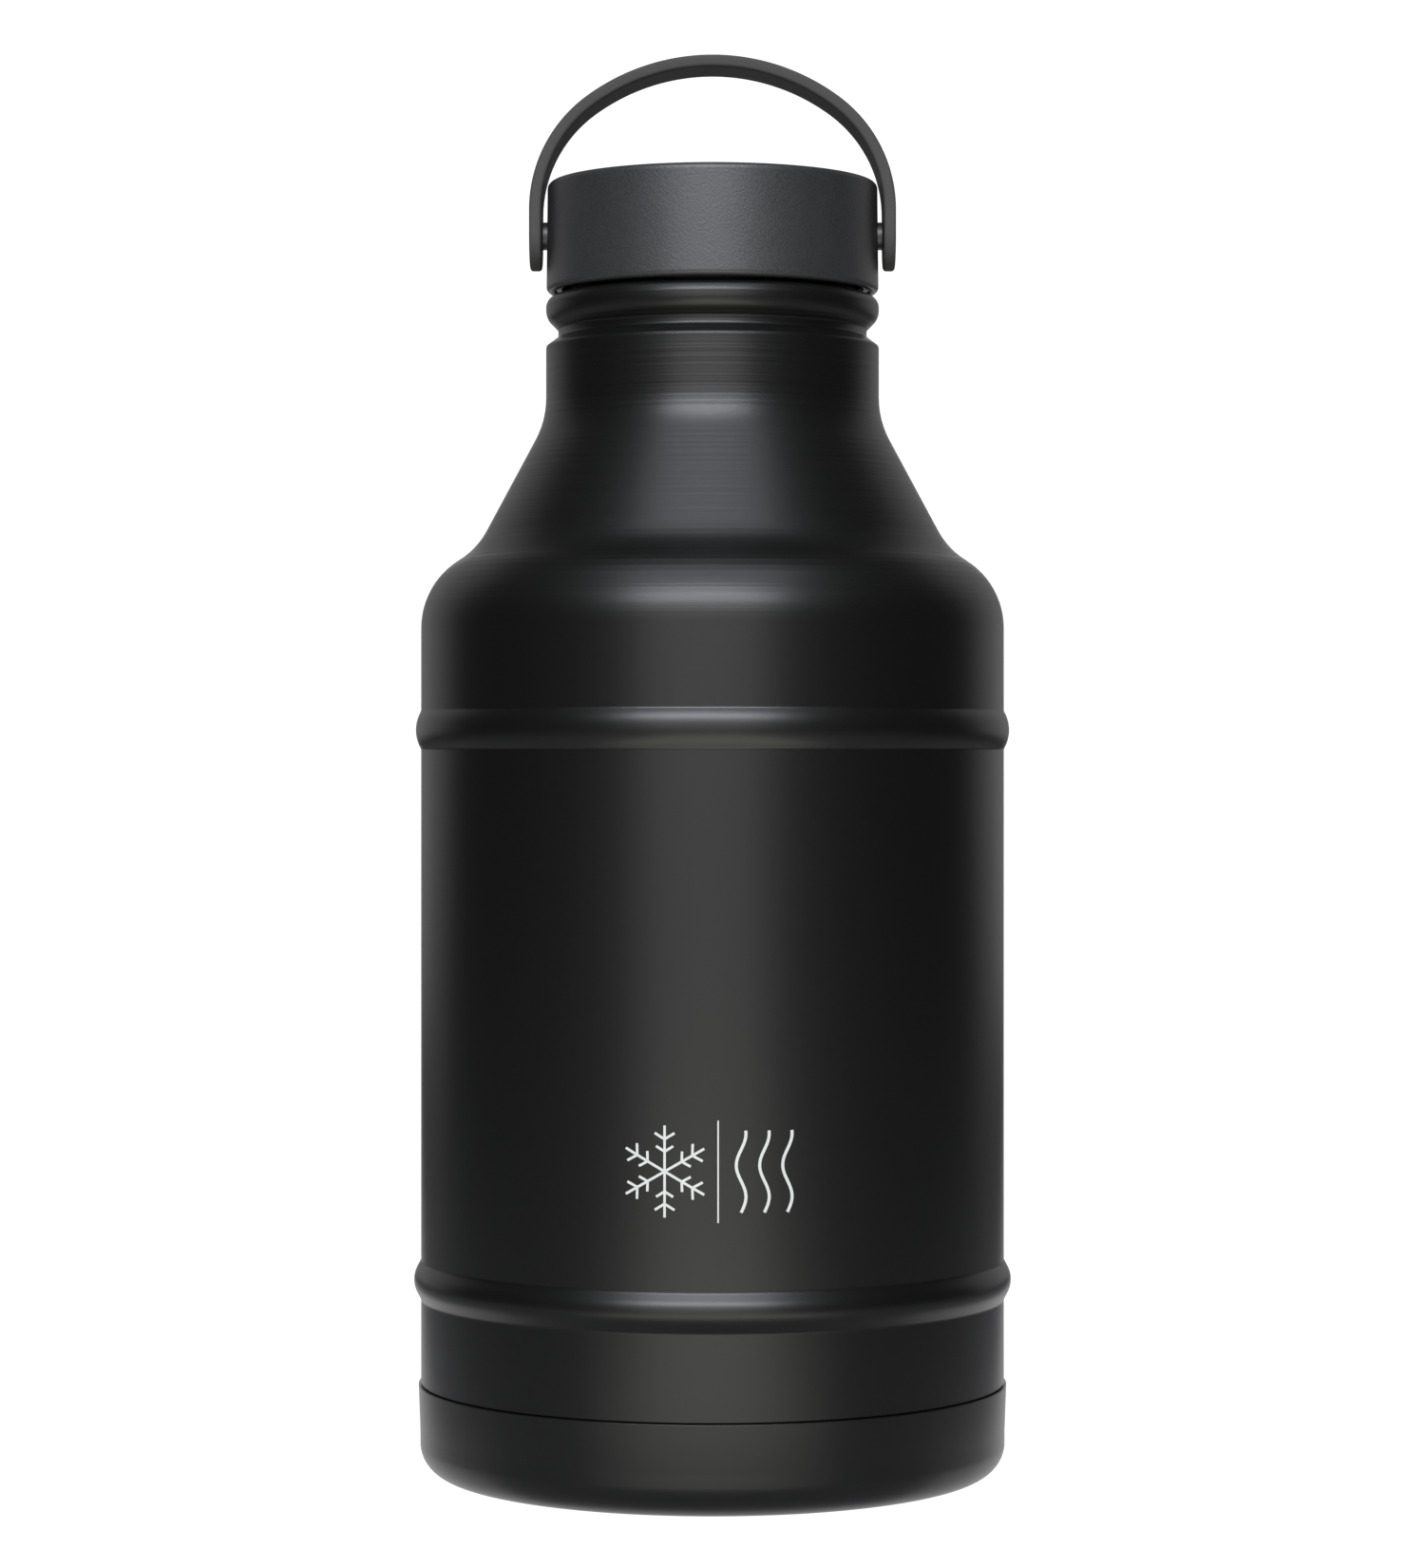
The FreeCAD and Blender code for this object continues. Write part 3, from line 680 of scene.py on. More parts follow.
steel_polished = make_finish("ring_polished_steel", {"Metallic": 1.0}, polished_steel)
steel_rolled = make_finish("rolled_steel", {"Metallic": 1.0}, rolled_steel)
copper = make_finish("crinkled_copper", {"Metallic": 1.0}, crinkled_copper)
getter_metal = make_finish("sintered_getter", {"Metallic": 0.8}, sintered_metal)
glass = make_finish("fused_solder_glass", {"IOR": 1.6, "Coat Weight": 0.3}, fused_glass)
rivet_coat = make_finish("coated_rivet", {"Metallic": 0.0, "IOR": 1.5}, handle_coat)
print(len(bpy.data.materials), "materials, with the CAD model's own")

# %% [markdown]
# ## The steel body
#
# The shell is one sheet of stainless steel, drawn and spun: a straight wall with two ribs rolled into it, a
# shoulder that turns over and then sweeps the other way into a cone, and a neck with a groove for a carrying
# loop, a bead, and the thread for the cap. The path below is the outer face from bottom to top.

# %% Sizes taken from the frame
def span(node):
    """Lowest and highest z of a CAD node, in mm."""
    low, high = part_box(node)
    return low[2] / MM, high[2] / MM


cap_bottom_z, cap_top_z = span("cap_shell")
lip_z = span("inner_vessel")[1]
seam_z = span("base_cup")[1]
tail_z = span("outer_shell")[0]
gasket_z, gasket_top_z = span("cap_gasket")
pivot_z = sum(span("pivot_rivet_right")) / 2
handle_top_z = span("handle")[1]
print(f"lip {lip_z:.1f}, cap {cap_bottom_z:.1f} to {cap_top_z:.1f}, pivot {pivot_z:.1f}, top {handle_top_z:.1f} mm")

# %% [markdown]
# ### The outer face as a path
#
# A rib is rolled into the wall from inside, so it is drawn as two straight flanks that meet at a wide arc, with
# a small arc at each foot. The shoulder is three arcs that flow into each other: over the body, back out into
# the cone, and up into the neck. A path of corners was chosen over a drawn curve because each number is then
# one that a spinner would measure.

# %% The shell's outer face
SHEET = 0.7
BROKEN_EDGE = 0.15
BODY_R = 60.9
CAP_R = 34.75
NECK_R = CAP_R + 0.09
FINISH_R = 30.1
CUP_SIDE_R = BODY_R + 0.15
CUP_FLARE = 0.35
CUP_LIP_R = CUP_SIDE_R + CUP_FLARE
CUP_CORNER = 6.6
CUP_FLARE_Z = CUP_CORNER + 2.4
CUP_FIT = 0.05
SHOULDER_TURN, CONE_TURN = math.radians(57.8), math.radians(28.2)
bead_top_z = cap_bottom_z - 0.7


def rib(z, proud, half=4.0, flank=math.radians(28), foot=1.2):
    """A rolled rib: two straight flanks that meet at a wide arc."""
    peak = half * math.tan(flank)
    crown = (peak - proud) / (1 / math.cos(flank) - 1)
    return [(BODY_R, z - half, foot), (BODY_R + peak, z, crown), (BODY_R, z + half, foot)]


def shoulder(over_r=16.5, sweep_r=16.5, neck_sweep_r=18.9, flat=0.2):
    """Three corners: over the body, into the cone, and into the neck."""
    first = over_r * math.tan(SHOULDER_TURN / 2)
    run = first + flat + sweep_r * math.tan((SHOULDER_TURN - CONE_TURN) / 2)
    over = (BODY_R, SHOULDER_Z + first, over_r)
    cone = (BODY_R - run * math.sin(SHOULDER_TURN), over[1] + run * math.cos(SHOULDER_TURN), sweep_r)
    neck = (NECK_R, cone[1] + (cone[0] - NECK_R) / math.tan(CONE_TURN), neck_sweep_r)
    return [over, cone, neck]


BEAD_H = 4.55
GROOVE_DEPTH, GROOVE_FLOOR, GROOVE_FLARE = 2.57, 1.55, 1.9
groove_z = bead_top_z - BEAD_H - GROOVE_DEPTH - GROOVE_FLOOR - GROOVE_FLARE
groove_r = NECK_R - GROOVE_DEPTH
finish_top_z = lip_z - 0.5
neck_path = [
    (NECK_R, groove_z, 0.8),
    (groove_r, groove_z + GROOVE_FLARE, 1.0),
    (groove_r, groove_z + GROOVE_FLARE + GROOVE_FLOOR, 1.0),
    (NECK_R, bead_top_z - BEAD_H, 3.6),
    (NECK_R, bead_top_z, 2.4),
    (FINISH_R, bead_top_z, 0.8),
    (FINISH_R, finish_top_z, 0),
]
LOW_RIB_Z, HIGH_RIB_Z = 40.6, SHOULDER_Z - 21.3
SEAM_RISE = 0.35
tail_r = CUP_SIDE_R - SHEET - CUP_FIT
tail_path = [(tail_r, tail_z, 0), (tail_r, CUP_FLARE_Z, 0), (tail_r + CUP_FLARE, seam_z, 0)]
shell_path = tail_path + [(BODY_R, seam_z + SEAM_RISE, 0)]
shell_path += rib(LOW_RIB_Z, 1.45) + rib(HIGH_RIB_Z, 1.1) + shoulder() + neck_path
print("shell's path has", len(shell_path), "corners")

# %% [markdown]
# ### Turning the shell
#
# The mouth's wall is cut into fine rows before it is turned, because the thread needs points to move. The
# thread itself is rolled by the lathe tree: a lead of 4 mm, one and three quarter turns, 1.2 mm proud.

# %% The shell
LEAD = 4.0
THREAD_START = bead_top_z + 4.4
THREAD_DEPTH = 1.2

THREAD_ROW = 0.16

turned_piece(
    "steel_shell",
    with_rows(sheet(shell_path, SHEET), FINISH_R, THREAD_ROW),
    coat_black,
    192,
    "bottle",
    "powder_coat",
    "outer_shell",
    Thread_Height=THREAD_DEPTH * MM,
    Thread_Low=(bead_top_z + 2) * MM,
    Thread_High=(finish_top_z - 0.4) * MM,
    Wall_Radius=FINISH_R * MM,
    First_Turn=THREAD_START * MM,
    Turns=1.75,
)

# %% [markdown]
# ## The base
#
# The growler stands on a ring pressed into the base cup. The cup's side flares by a third of a millimetre up
# to its lip, and that lip is the thin line round the body near the table. Behind the cup is the plate that
# really closes the vacuum, with a dimple, a port, and a bead of glass that sealed it in the furnace.

# %% Base cup, shell's bottom and seal
PRESS_R = 0.8
FOOT_IN_R = CUP_SIDE_R - CUP_CORNER - 7.5
PANEL_Z = 2.4
DIMPLE_R, DIMPLE_H = 24.0, 1.0
cup_path = [
    (0, PANEL_Z + DIMPLE_H, 0),
    (DIMPLE_R, PANEL_Z + DIMPLE_H, PRESS_R),
    (DIMPLE_R + 0.8, PANEL_Z, PRESS_R),
    (FOOT_IN_R - 3.0, PANEL_Z, PRESS_R),
    (FOOT_IN_R, 0, PRESS_R),
    (CUP_SIDE_R, 0, CUP_CORNER),
    (CUP_SIDE_R, CUP_FLARE_Z, 0),
    (CUP_LIP_R, seam_z, 0),
]
cup_section = sheet(cup_path, SHEET, BROKEN_EDGE)
turned_piece("base_cup_coated", cup_section, coat_black, 224, "bottle", "powder_coat", "base_cup")

PORT_R = 1.2
bottom_z = tail_z + 2.0
port_z = bottom_z + 1.6
rim_r = tail_r - SHEET - 0.02
bottom_path = [
    (PORT_R, port_z, 0),
    (5.0, port_z, PRESS_R),
    (7.0, bottom_z, PRESS_R),
    (rim_r - SHEET, bottom_z, PRESS_R),
    (rim_r - SHEET, tail_z, 0),
]
bottom_section = sheet(bottom_path, SHEET)
turned_piece("shell_bottom", bottom_section, steel_rolled, 160, "bottle", "bare_steel", "outer_bottom")

HAIR = 0.02  # mm between pieces that touch
SEAL_DROP = 1.2
seal_path = [
    (0, port_z - SEAL_DROP, 0),
    (2.6, port_z - SEAL_DROP, 1.0),
    (3.4, port_z - HAIR, 0),
    (PORT_R - HAIR, port_z - HAIR, 0),
    (PORT_R - HAIR, port_z + SHEET, 0),
    (0, port_z + SHEET, 0),
]
turned_piece("glass_seal", closed(seal_path), glass, 48, "bottle", "glass_solder", "vacuum_seal_bead")

# %% [markdown]
# ## Inside the wall
#
# The vessel follows the shell at an even distance, like the inner cup of any vacuum flask, so its section is
# the shell's shoulder moved inwards. At the mouth it turns over the shell's end, and that rolled edge is the
# lip that the gasket seals on. Foil round it keeps the heat from crossing the vacuum as radiation.

# %% Vessel, its bottom and the foil
GAP = 4.6
VESSEL_SHEET = 0.5
VESSEL_R = BODY_R - SHEET - GAP
VESSEL_NECK_R = FINISH_R - SHEET - 1.2
floor_z, weld_z = span("inner_bottom")

over, cone, neck = moved_left([(BODY_R, SHOULDER_Z, 0)] + shoulder() + [(NECK_R, groove_z, 0)], SHEET + GAP)[1:4]
vessel_path = [
    (VESSEL_R, weld_z + 0.02, 0),
    over,
    cone,
    (VESSEL_NECK_R, cone[1] + (cone[0] - VESSEL_NECK_R) / math.tan(CONE_TURN), neck[2]),
    (VESSEL_NECK_R, finish_top_z, 0.3),
    (FINISH_R, finish_top_z, 0),
]
vessel_section = sheet(vessel_path, VESSEL_SHEET, BROKEN_EDGE)
turned_piece("steel_vessel", vessel_section, steel_polished, 224, "bottle", "vessel_steel", "inner_vessel")
vessel_bottom_path = [(0, floor_z, 0), (VESSEL_R, floor_z, 9.0), (VESSEL_R, weld_z, 0)]
floor_section = sheet(vessel_bottom_path, VESSEL_SHEET)
turned_piece("vessel_floor", floor_section, steel_polished, 192, "bottle", "vessel_steel", "inner_bottom")
foil_low, foil_high = span("radiation_foil")
foil_in_r = VESSEL_R + 0.1
foil_out_r = foil_in_r + 0.15
foil_path = [(foil_in_r, foil_low, 0), (foil_out_r, foil_low, 0), (foil_out_r, foil_high, 0), (foil_in_r, foil_high, 0)]
turned_piece("copper_wrap", closed(foil_path), copper, 160, "bottle", "copper_foil", "radiation_foil")

# %% [markdown]
# ## The cap
#
# The cap is a plain drum with a fine radius at both ends and a shallow dish on top. The radii matter more than
# anything else on it, because they catch the light as two thin lines. The threaded liner is a separate
# moulding, with foam above it. The pivots pass through the wall, so their seats are cut with a Boolean: the
# cutter is one more turned section, laid on its side.

# %% Cap shell
CAP_EDGE = 1.2
CAP_TOP_R = CAP_R - 0.25
CAP_BORE_R = CAP_R - 1.8
RIVET_R = 1.5
RIVET_HOLE_R = RIVET_R + 0.05
ceiling_z = cap_top_z - 2.0
dish_z = cap_top_z - 0.4
SIDEWAYS = {"right": (0, math.pi / 2, 0), "left": (0, -math.pi / 2, 0)}  # turns a lathe's axis to +X or -X


def cut(mesh, cutters):
    """The mesh with the cutters' shapes taken out of it."""
    body = put("blank", mesh)
    tools = []
    for cutter in cutters:
        tool = put("cutter", cutter)
        modifier = body.modifiers.new("cut", "BOOLEAN")
        modifier.operation, modifier.solver, modifier.object = "DIFFERENCE", "EXACT", tool
        tools.append(tool)
    graph = bpy.context.evaluated_depsgraph_get()
    result = bpy.data.meshes.new_from_object(body.evaluated_get(graph), depsgraph=graph)
    for used in [body] + tools:
        bpy.data.objects.remove(used)
    result.set_sharp_from_angle(angle=SHARP)
    return result


cap_path = [
    (0, ceiling_z, 0),
    (CAP_BORE_R, ceiling_z, 0.6),
    (CAP_BORE_R, cap_bottom_z, 0.3),
    (CAP_R, cap_bottom_z, CAP_EDGE),
    (CAP_TOP_R, cap_top_z, CAP_EDGE),
    (CAP_TOP_R - 5.0, cap_top_z, CAP_EDGE),
    (CAP_TOP_R - 5.8, dish_z, CAP_EDGE),
    (0, dish_z, 0),
]
rivet_in_x, rivet_out_x = (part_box("pivot_rivet_right")[i][0] / MM for i in (0, 1))
spacer_in_x, spacer_out_x = (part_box("pivot_spacer_right")[i][0] / MM for i in (0, 1))
FLANGE_R, FLANGE_SEAT = 3.0, 0.6
seat_path = [
    (0, CAP_BORE_R - 3, 0),
    (FLANGE_R + 0.1, CAP_BORE_R - 3, 0),
    (FLANGE_R + 0.1, rivet_in_x + FLANGE_SEAT, 0),
    (RIVET_HOLE_R, rivet_in_x + FLANGE_SEAT, 0),
    (RIVET_HOLE_R, spacer_in_x - HAIR, 0),
    (FLANGE_R, spacer_in_x - HAIR, 0),
    (FLANGE_R, CAP_R + 1, 0),
    (0, CAP_R + 1, 0),
]
pivot_place = (0, 0, pivot_z * MM)
seats = [turned(closed(seat_path), plastic_grey, 48, Rotation=way, Place=pivot_place) for way in SIDEWAYS.values()]
cap_mesh = cut(turned(closed(cap_path), plastic_grey, 256), seats)
finish_piece("cap_drum", cap_mesh, "cap", ["cap_shell"])

# %% [markdown]
# ### What is inside the cap
#
# The liner is what meets the drink and the thread, so it is moulded apart from the drum, in a polished tool.
# Its thread is the shell's own ridge turned inside out: the same tree with a negative height, half a lead
# further up. The gasket is pinched behind a ring on the liner's ceiling, and the foam fills the hollow above.

# %% Liner, foam and gasket
LINER_ROOT_R = FINISH_R + THREAD_DEPTH + 0.25
LINER_R = CAP_BORE_R - 0.05
liner_low, liner_high = span("cap_liner")
seat_z = liner_high - 1.5
gasket_in_r = FINISH_R + THREAD_DEPTH - 4.6
KEEPER_T, KEEPER_H = 1.4, 1.5
keeper_r = gasket_in_r - 0.1
liner_path = [
    (0, seat_z, 0),
    (keeper_r - KEEPER_T, seat_z, 0),
    (keeper_r - KEEPER_T, seat_z - KEEPER_H, 0.3),
    (keeper_r, seat_z - KEEPER_H, 0.3),
    (keeper_r, seat_z, 0),
    (LINER_ROOT_R, seat_z, 0),
    (LINER_ROOT_R, liner_low, 0.3),
    (LINER_R, liner_low, 0.3),
    (LINER_R, liner_high, 0.5),
    (0, liner_high, 0),
]
turned_piece(
    "threaded_liner",
    with_rows(closed(liner_path), LINER_ROOT_R, THREAD_ROW),
    plastic_liner,
    224,
    "cap",
    "liner_plastic",
    "cap_liner",
    Thread_Height=-THREAD_DEPTH * MM,
    Thread_Low=(liner_low + 0.3) * MM,
    Thread_High=(gasket_z - 0.3) * MM,
    Wall_Radius=LINER_ROOT_R * MM,
    First_Turn=(THREAD_START - LEAD / 2 + 0.2) * MM,
    Turns=1.5,
)

foam_low, foam_high = span("cap_foam")
foam_r = CAP_BORE_R - 0.1
foam_path = [(0, foam_low, 0), (foam_r, foam_low, 0.4), (foam_r, foam_high, 0.6), (0, foam_high, 0)]
turned_piece("foam_disc", closed(foam_path), foam_white, 128, "cap", "cap_foam", "cap_foam")

gasket_out_r = LINER_ROOT_R - 0.1
gasket_path = [
    (gasket_in_r, gasket_z + 0.9, 0),
    (gasket_in_r, gasket_z, 0.3),
    (gasket_out_r, gasket_z, 0.3),
    (gasket_out_r, gasket_top_z, 0.2),
    (gasket_in_r, gasket_top_z, 0.2),
]
turned_piece("silicone_gasket", closed(gasket_path), rubber_milky, 192, "cap_seal", "silicone", "cap_gasket")

# %% [markdown]
# ## The pivots
#
# Each pivot is a rivet with its flange inside the cap's wall and its head closed flush into the arm. A nylon
# washer fills the gap between the cap and the arm. Both are turned sections on their side, and the mirror
# image is the same section turned the other way, so nothing has to be mirrored.

# %% Rivets and spacers
FLANGE_T = FLANGE_SEAT - HAIR
HEAD_R, HEAD_SINK = 2.5, 0.9
SPACER_R = 2.9
head_z = rivet_out_x - HEAD_SINK + HAIR
rivet_path = [
    (0, rivet_in_x, 0),
    (FLANGE_R, rivet_in_x, BROKEN_EDGE),
    (FLANGE_R, rivet_in_x + FLANGE_T, BROKEN_EDGE),
    (RIVET_R, rivet_in_x + FLANGE_T, 0),
    (RIVET_R, head_z, 0),
    (HEAD_R, head_z, 0),
    (HEAD_R, rivet_out_x, 0.45),
    (0, rivet_out_x, 0),
]
spacer_path = [
    (RIVET_HOLE_R, spacer_in_x, 0),
    (SPACER_R, spacer_in_x, BROKEN_EDGE),
    (SPACER_R, spacer_out_x, 0.25),
    (RIVET_HOLE_R, spacer_out_x, 0),
]
for side, way in SIDEWAYS.items():
    at_pivot = {"Rotation": way, "Place": pivot_place}
    rivet, washer = closed(rivet_path), closed(spacer_path)
    turned_piece(f"rivet_{side}", rivet, rivet_coat, 64, "cap", "rivet_steel", f"pivot_rivet_{side}", **at_pivot)
    turned_piece(f"washer_{side}", washer, nylon_black, 64, "cap", "spacer_nylon", f"pivot_spacer_{side}", **at_pivot)

# %% [markdown]
# ## The handle
#
# The real handle is cut flat, with round ends and broken edges, drilled, and then bent over a former. The
# script does the same. `flat_bar` makes the blank, the holes are cut while it is still flat, and the bending
# tree lays it along the arch: how far a point lies along the bar says where on the arch it goes.

# %% The bending tree
BEND_INPUTS = {"Former": ("Object", None), "Material": ("Material", None)}


def make_bend_tree():
    tree, nodes, start = geometry_tree("bend", BEND_INPUTS)
    former = nodes.make("GeometryNodeObjectInfo", {}, {"Object": start.out("Former")}).out("Geometry")
    along, across, through = nodes.parts(nodes.make("GeometryNodeInputPosition"))
    sampled = nodes.make("GeometryNodeSampleCurve", {"mode": "LENGTH"}, {"Curves": former, "Length": along})
    at, tangent = sampled.out("Position"), sampled.out("Tangent")
    x, y, z = nodes.parts(at)
    tangent_x, _, tangent_z = nodes.parts(tangent)
    place = nodes.vector(x - tangent_z * through, y + across, z + tangent_x * through)
    bent = nodes.make("GeometryNodeSetPosition", {}, {"Geometry": start.out("Geometry"), "Position": place})
    end_tree(nodes, bent, start.out("Material"))
    return tree


bend_tree = make_bend_tree()


def bend(blank, route, material):
    """Bends a flat mesh along a route of (x, z) points in mm, in the plane y = 0."""
    curve = bpy.data.curves.new("former", "CURVE")
    curve.dimensions = "3D"
    spline = curve.splines.new("POLY")
    spline.points.add(len(route) - 1)
    for point, (x, z) in zip(spline.points, route):
        point.co = (x * MM, 0, z * MM, 1)
    former = put("former", curve)
    mesh = run_tree(bend_tree, blank, {"Former": former, "Material": material})
    bpy.data.objects.remove(former)
    return mesh


print("bending tree:", len(bend_tree.nodes), "nodes")

# %% [markdown]
# ### The blank
#
# A bevelled cube would have square ends, and a bevelled curve would have no holes. A flat bar built as a stack
# of loops has both: each loop is the bar's outline, drawn in by as much as the rounded edge asks at its height.
# The rows along the bar let it bend smoothly.

# %% The flat blank
def flat_bar(length, width, thickness, edge, rows, end_steps=28, round_ends=True):
    """A flat bar in mm, from x = 0 to its length, with rounded edges all round and half-round ends."""
    radius = width / 2
    centre = radius if round_ends else edge + HOLD
    stations = np.linspace(centre, length - centre, rows + 1)
    turns = np.linspace(-math.pi / 2, math.pi / 2, end_steps + 1)[1:-1]
    arc = [(edge * (1 - math.sin(t)), edge * (1 - math.cos(t))) for t in np.linspace(0, math.pi / 2, 7)]
    rise = [(inset, -thickness / 2 + up) for inset, up in arc]
    flat_from = edge + HOLD
    rings_up = [(flat_from, -thickness / 2)] + rise + [(i, -z) for i, z in rise[::-1]] + [(flat_from, thickness / 2)]

    def loop(inset, z):
        half = radius - inset
        reach = half if round_ends else centre - inset
        near = [(x, -half) for x in stations]
        right = [(stations[-1] + reach * math.cos(t), half * math.sin(t)) for t in turns]
        far = [(x, half) for x in stations[::-1]]
        left = [(stations[0] - reach * math.cos(t), -half * math.sin(t)) for t in turns]
        return [(x * MM, y * MM, z * MM) for x, y in near + right + far + left]

    loops = [loop(*ring) for ring in rings_up]
    size = len(loops[0])
    faces = [
        (k * size + i, k * size + (i + 1) % size, (k + 1) * size + (i + 1) % size, (k + 1) * size + i)
        for k in range(len(loops) - 1)
        for i in range(size)
    ]
    far_start = rows + 1 + len(turns)
    for base, flip in ((0, True), ((len(loops) - 1) * size, False)):
        lids = [(k, k + 1, far_start + rows - k - 1, far_start + rows - k) for k in range(rows)]
        lids.append(tuple(range(rows, far_start + 1)))
        lids.append(tuple([*range(far_start + rows, size), 0]))
        faces += [tuple(base + i for i in (lid[::-1] if flip else lid)) for lid in lids]
    mesh = bpy.data.meshes.new("blank")
    mesh.from_pydata([p for ring in loops for p in ring], [], faces)
    return mesh


print("a blank of 100 by 10 mm has", len(flat_bar(100, 10, 2, 0.5, rows=20).polygons), "faces")

# %% [markdown]
# ### The arch
#
# The handle is two straight arms, two bends of 29 mm, and a wide crown whose radius follows from the handle's
# height, so that the arcs always meet without a kink. The holes are sunk for the rivets' heads.

# %% The handle's arch
HANDLE_T = 2.5
HANDLE_W = 14.6
HANDLE_EDGE = 0.7
SIDE_BEND_R = 29.2
arm_x = CAP_R + 0.92 + HANDLE_T
bend_z = pivot_z + 4.85


def arch(inset, steps=48):
    """Points along the arch from the left arm's end to the right arm's, at a depth inside its outer face."""
    side_x = arm_x - SIDE_BEND_R
    lift = handle_top_z - bend_z
    top_r = (side_x**2 + lift**2 - SIDE_BEND_R**2) / (2 * (lift - SIDE_BEND_R))
    top_z = handle_top_z - top_r
    meet = math.atan2(bend_z - top_z, side_x)
    side = [
        (side_x + (SIDE_BEND_R - inset) * math.cos(t), bend_z + (SIDE_BEND_R - inset) * math.sin(t))
        for t in np.linspace(0, meet, steps)
    ]
    crown = [
        ((top_r - inset) * math.cos(t), top_z + (top_r - inset) * math.sin(t))
        for t in np.linspace(meet, math.pi - meet, 2 * steps)
    ]
    foot = (arm_x - inset, pivot_z - HANDLE_W / 2)
    return [(-x, z) for x, z in [foot] + side] + crown[1:-1][::-1] + side[::-1] + [foot]


route = arch(HANDLE_T / 2)
length = sum(math.dist(a, b) for a, b in zip(route, route[1:]))
blank = flat_bar(length, HANDLE_W, HANDLE_T, HANDLE_EDGE, rows=170)
sink_z = HANDLE_T / 2 - (arm_x - (rivet_out_x - HEAD_SINK))
sink_r = HEAD_R + 0.1
hole_path = [
    (0, -HANDLE_T, 0),
    (RIVET_HOLE_R, -HANDLE_T, 0),
    (RIVET_HOLE_R, sink_z, 0),
    (sink_r, sink_z, 0),
    (sink_r, HANDLE_T, 0),
    (0, HANDLE_T, 0),
]
hole_places = (HANDLE_W / 2, length - HANDLE_W / 2)
holes = [turned(closed(hole_path), coat_grey, 48, Place=(x * MM, 0, 0)) for x in hole_places]
handle_mesh = bend(cut(blank, holes), route, coat_grey)
finish_piece("bail_handle", handle_mesh, "handle", ["handle"])
print(f"the bar is {length:.1f} mm long before bending")

# %% [markdown]
# ## The getter
#
# Under the vessel's floor hangs a pill of metal that soaks up the last gas in the vacuum. Its clip is a strip
# bent down round it and spot welded by its two feet, so it is one more flat bar on a former.

# %% Getter and clip
pill_low, pill_high = span("getter_pill")
pill_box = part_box("getter_pill")
pill_x = (pill_box[0][0] + pill_box[1][0]) / 2
pill_r = 4.0
pill_path = [(0, pill_low, 0), (pill_r, pill_low, 0.4), (pill_r, pill_high, 0.2), (0, pill_high, 0)]
pill = closed(pill_path)
turned_piece("getter_disc", pill, getter_metal, 64, "bottle", "getter", "getter_pill", Place=(pill_x, 0, 0))

CLIP_T = 0.4
clip_low, clip_high = span("getter_clip")
clip_half = pill_r + 0.1 + CLIP_T / 2
foot_x = clip_half + CLIP_T / 2 + 4.0
clip_route = [
    (-foot_x, clip_high - CLIP_T / 2, 0),
    (-clip_half, clip_high - CLIP_T / 2, 0.25),
    (-clip_half, clip_low + CLIP_T / 2, 0.25),
    (clip_half, clip_low + CLIP_T / 2, 0.25),
    (clip_half, clip_high - CLIP_T / 2, 0.25),
    (foot_x, clip_high - CLIP_T / 2, 0),
]
clip_route = [(x + pill_x / MM, z) for x, z in rounded(clip_route)]
clip_length = sum(math.dist(a, b) for a, b in zip(clip_route, clip_route[1:]))
clip_blank = flat_bar(clip_length, 6.0, CLIP_T, 0.08, rows=120, end_steps=6, round_ends=False)
finish_piece("getter_strap", bend(clip_blank, clip_route, steel_rolled), "bottle", ["getter_clip"])

# %% [markdown]
# ## The printed mark
#
# A growler keeps drinks hot or cold, so the print low on the front is a picture of that: a snowflake, a thin
# line, and three curls of steam. Each is drawn flat, as one stroke pattern. The printing tree gives the
# strokes the width of a nib and the thickness of ink, repeats the pattern (six times round for the snowflake's
# arms, three times across for the steam), and wraps the result round the wall.

# %% The printing tree
PRINT_INPUTS = {
    "Nib": ("Float", 0.0005),
    "Ink": ("Float", 0.00004),
    "Copies": ("Int", 1),
    "Turn Between": ("Float", 0.0),
    "Step Between": ("Float", 0.0),
    "Across": ("Float", 0.0),
    "Height": ("Float", 0.0),
    "Wall Radius": ("Float", 0.06),
    "Material": ("Material", None),
}


STROKE_STEP = 0.0004  # metres


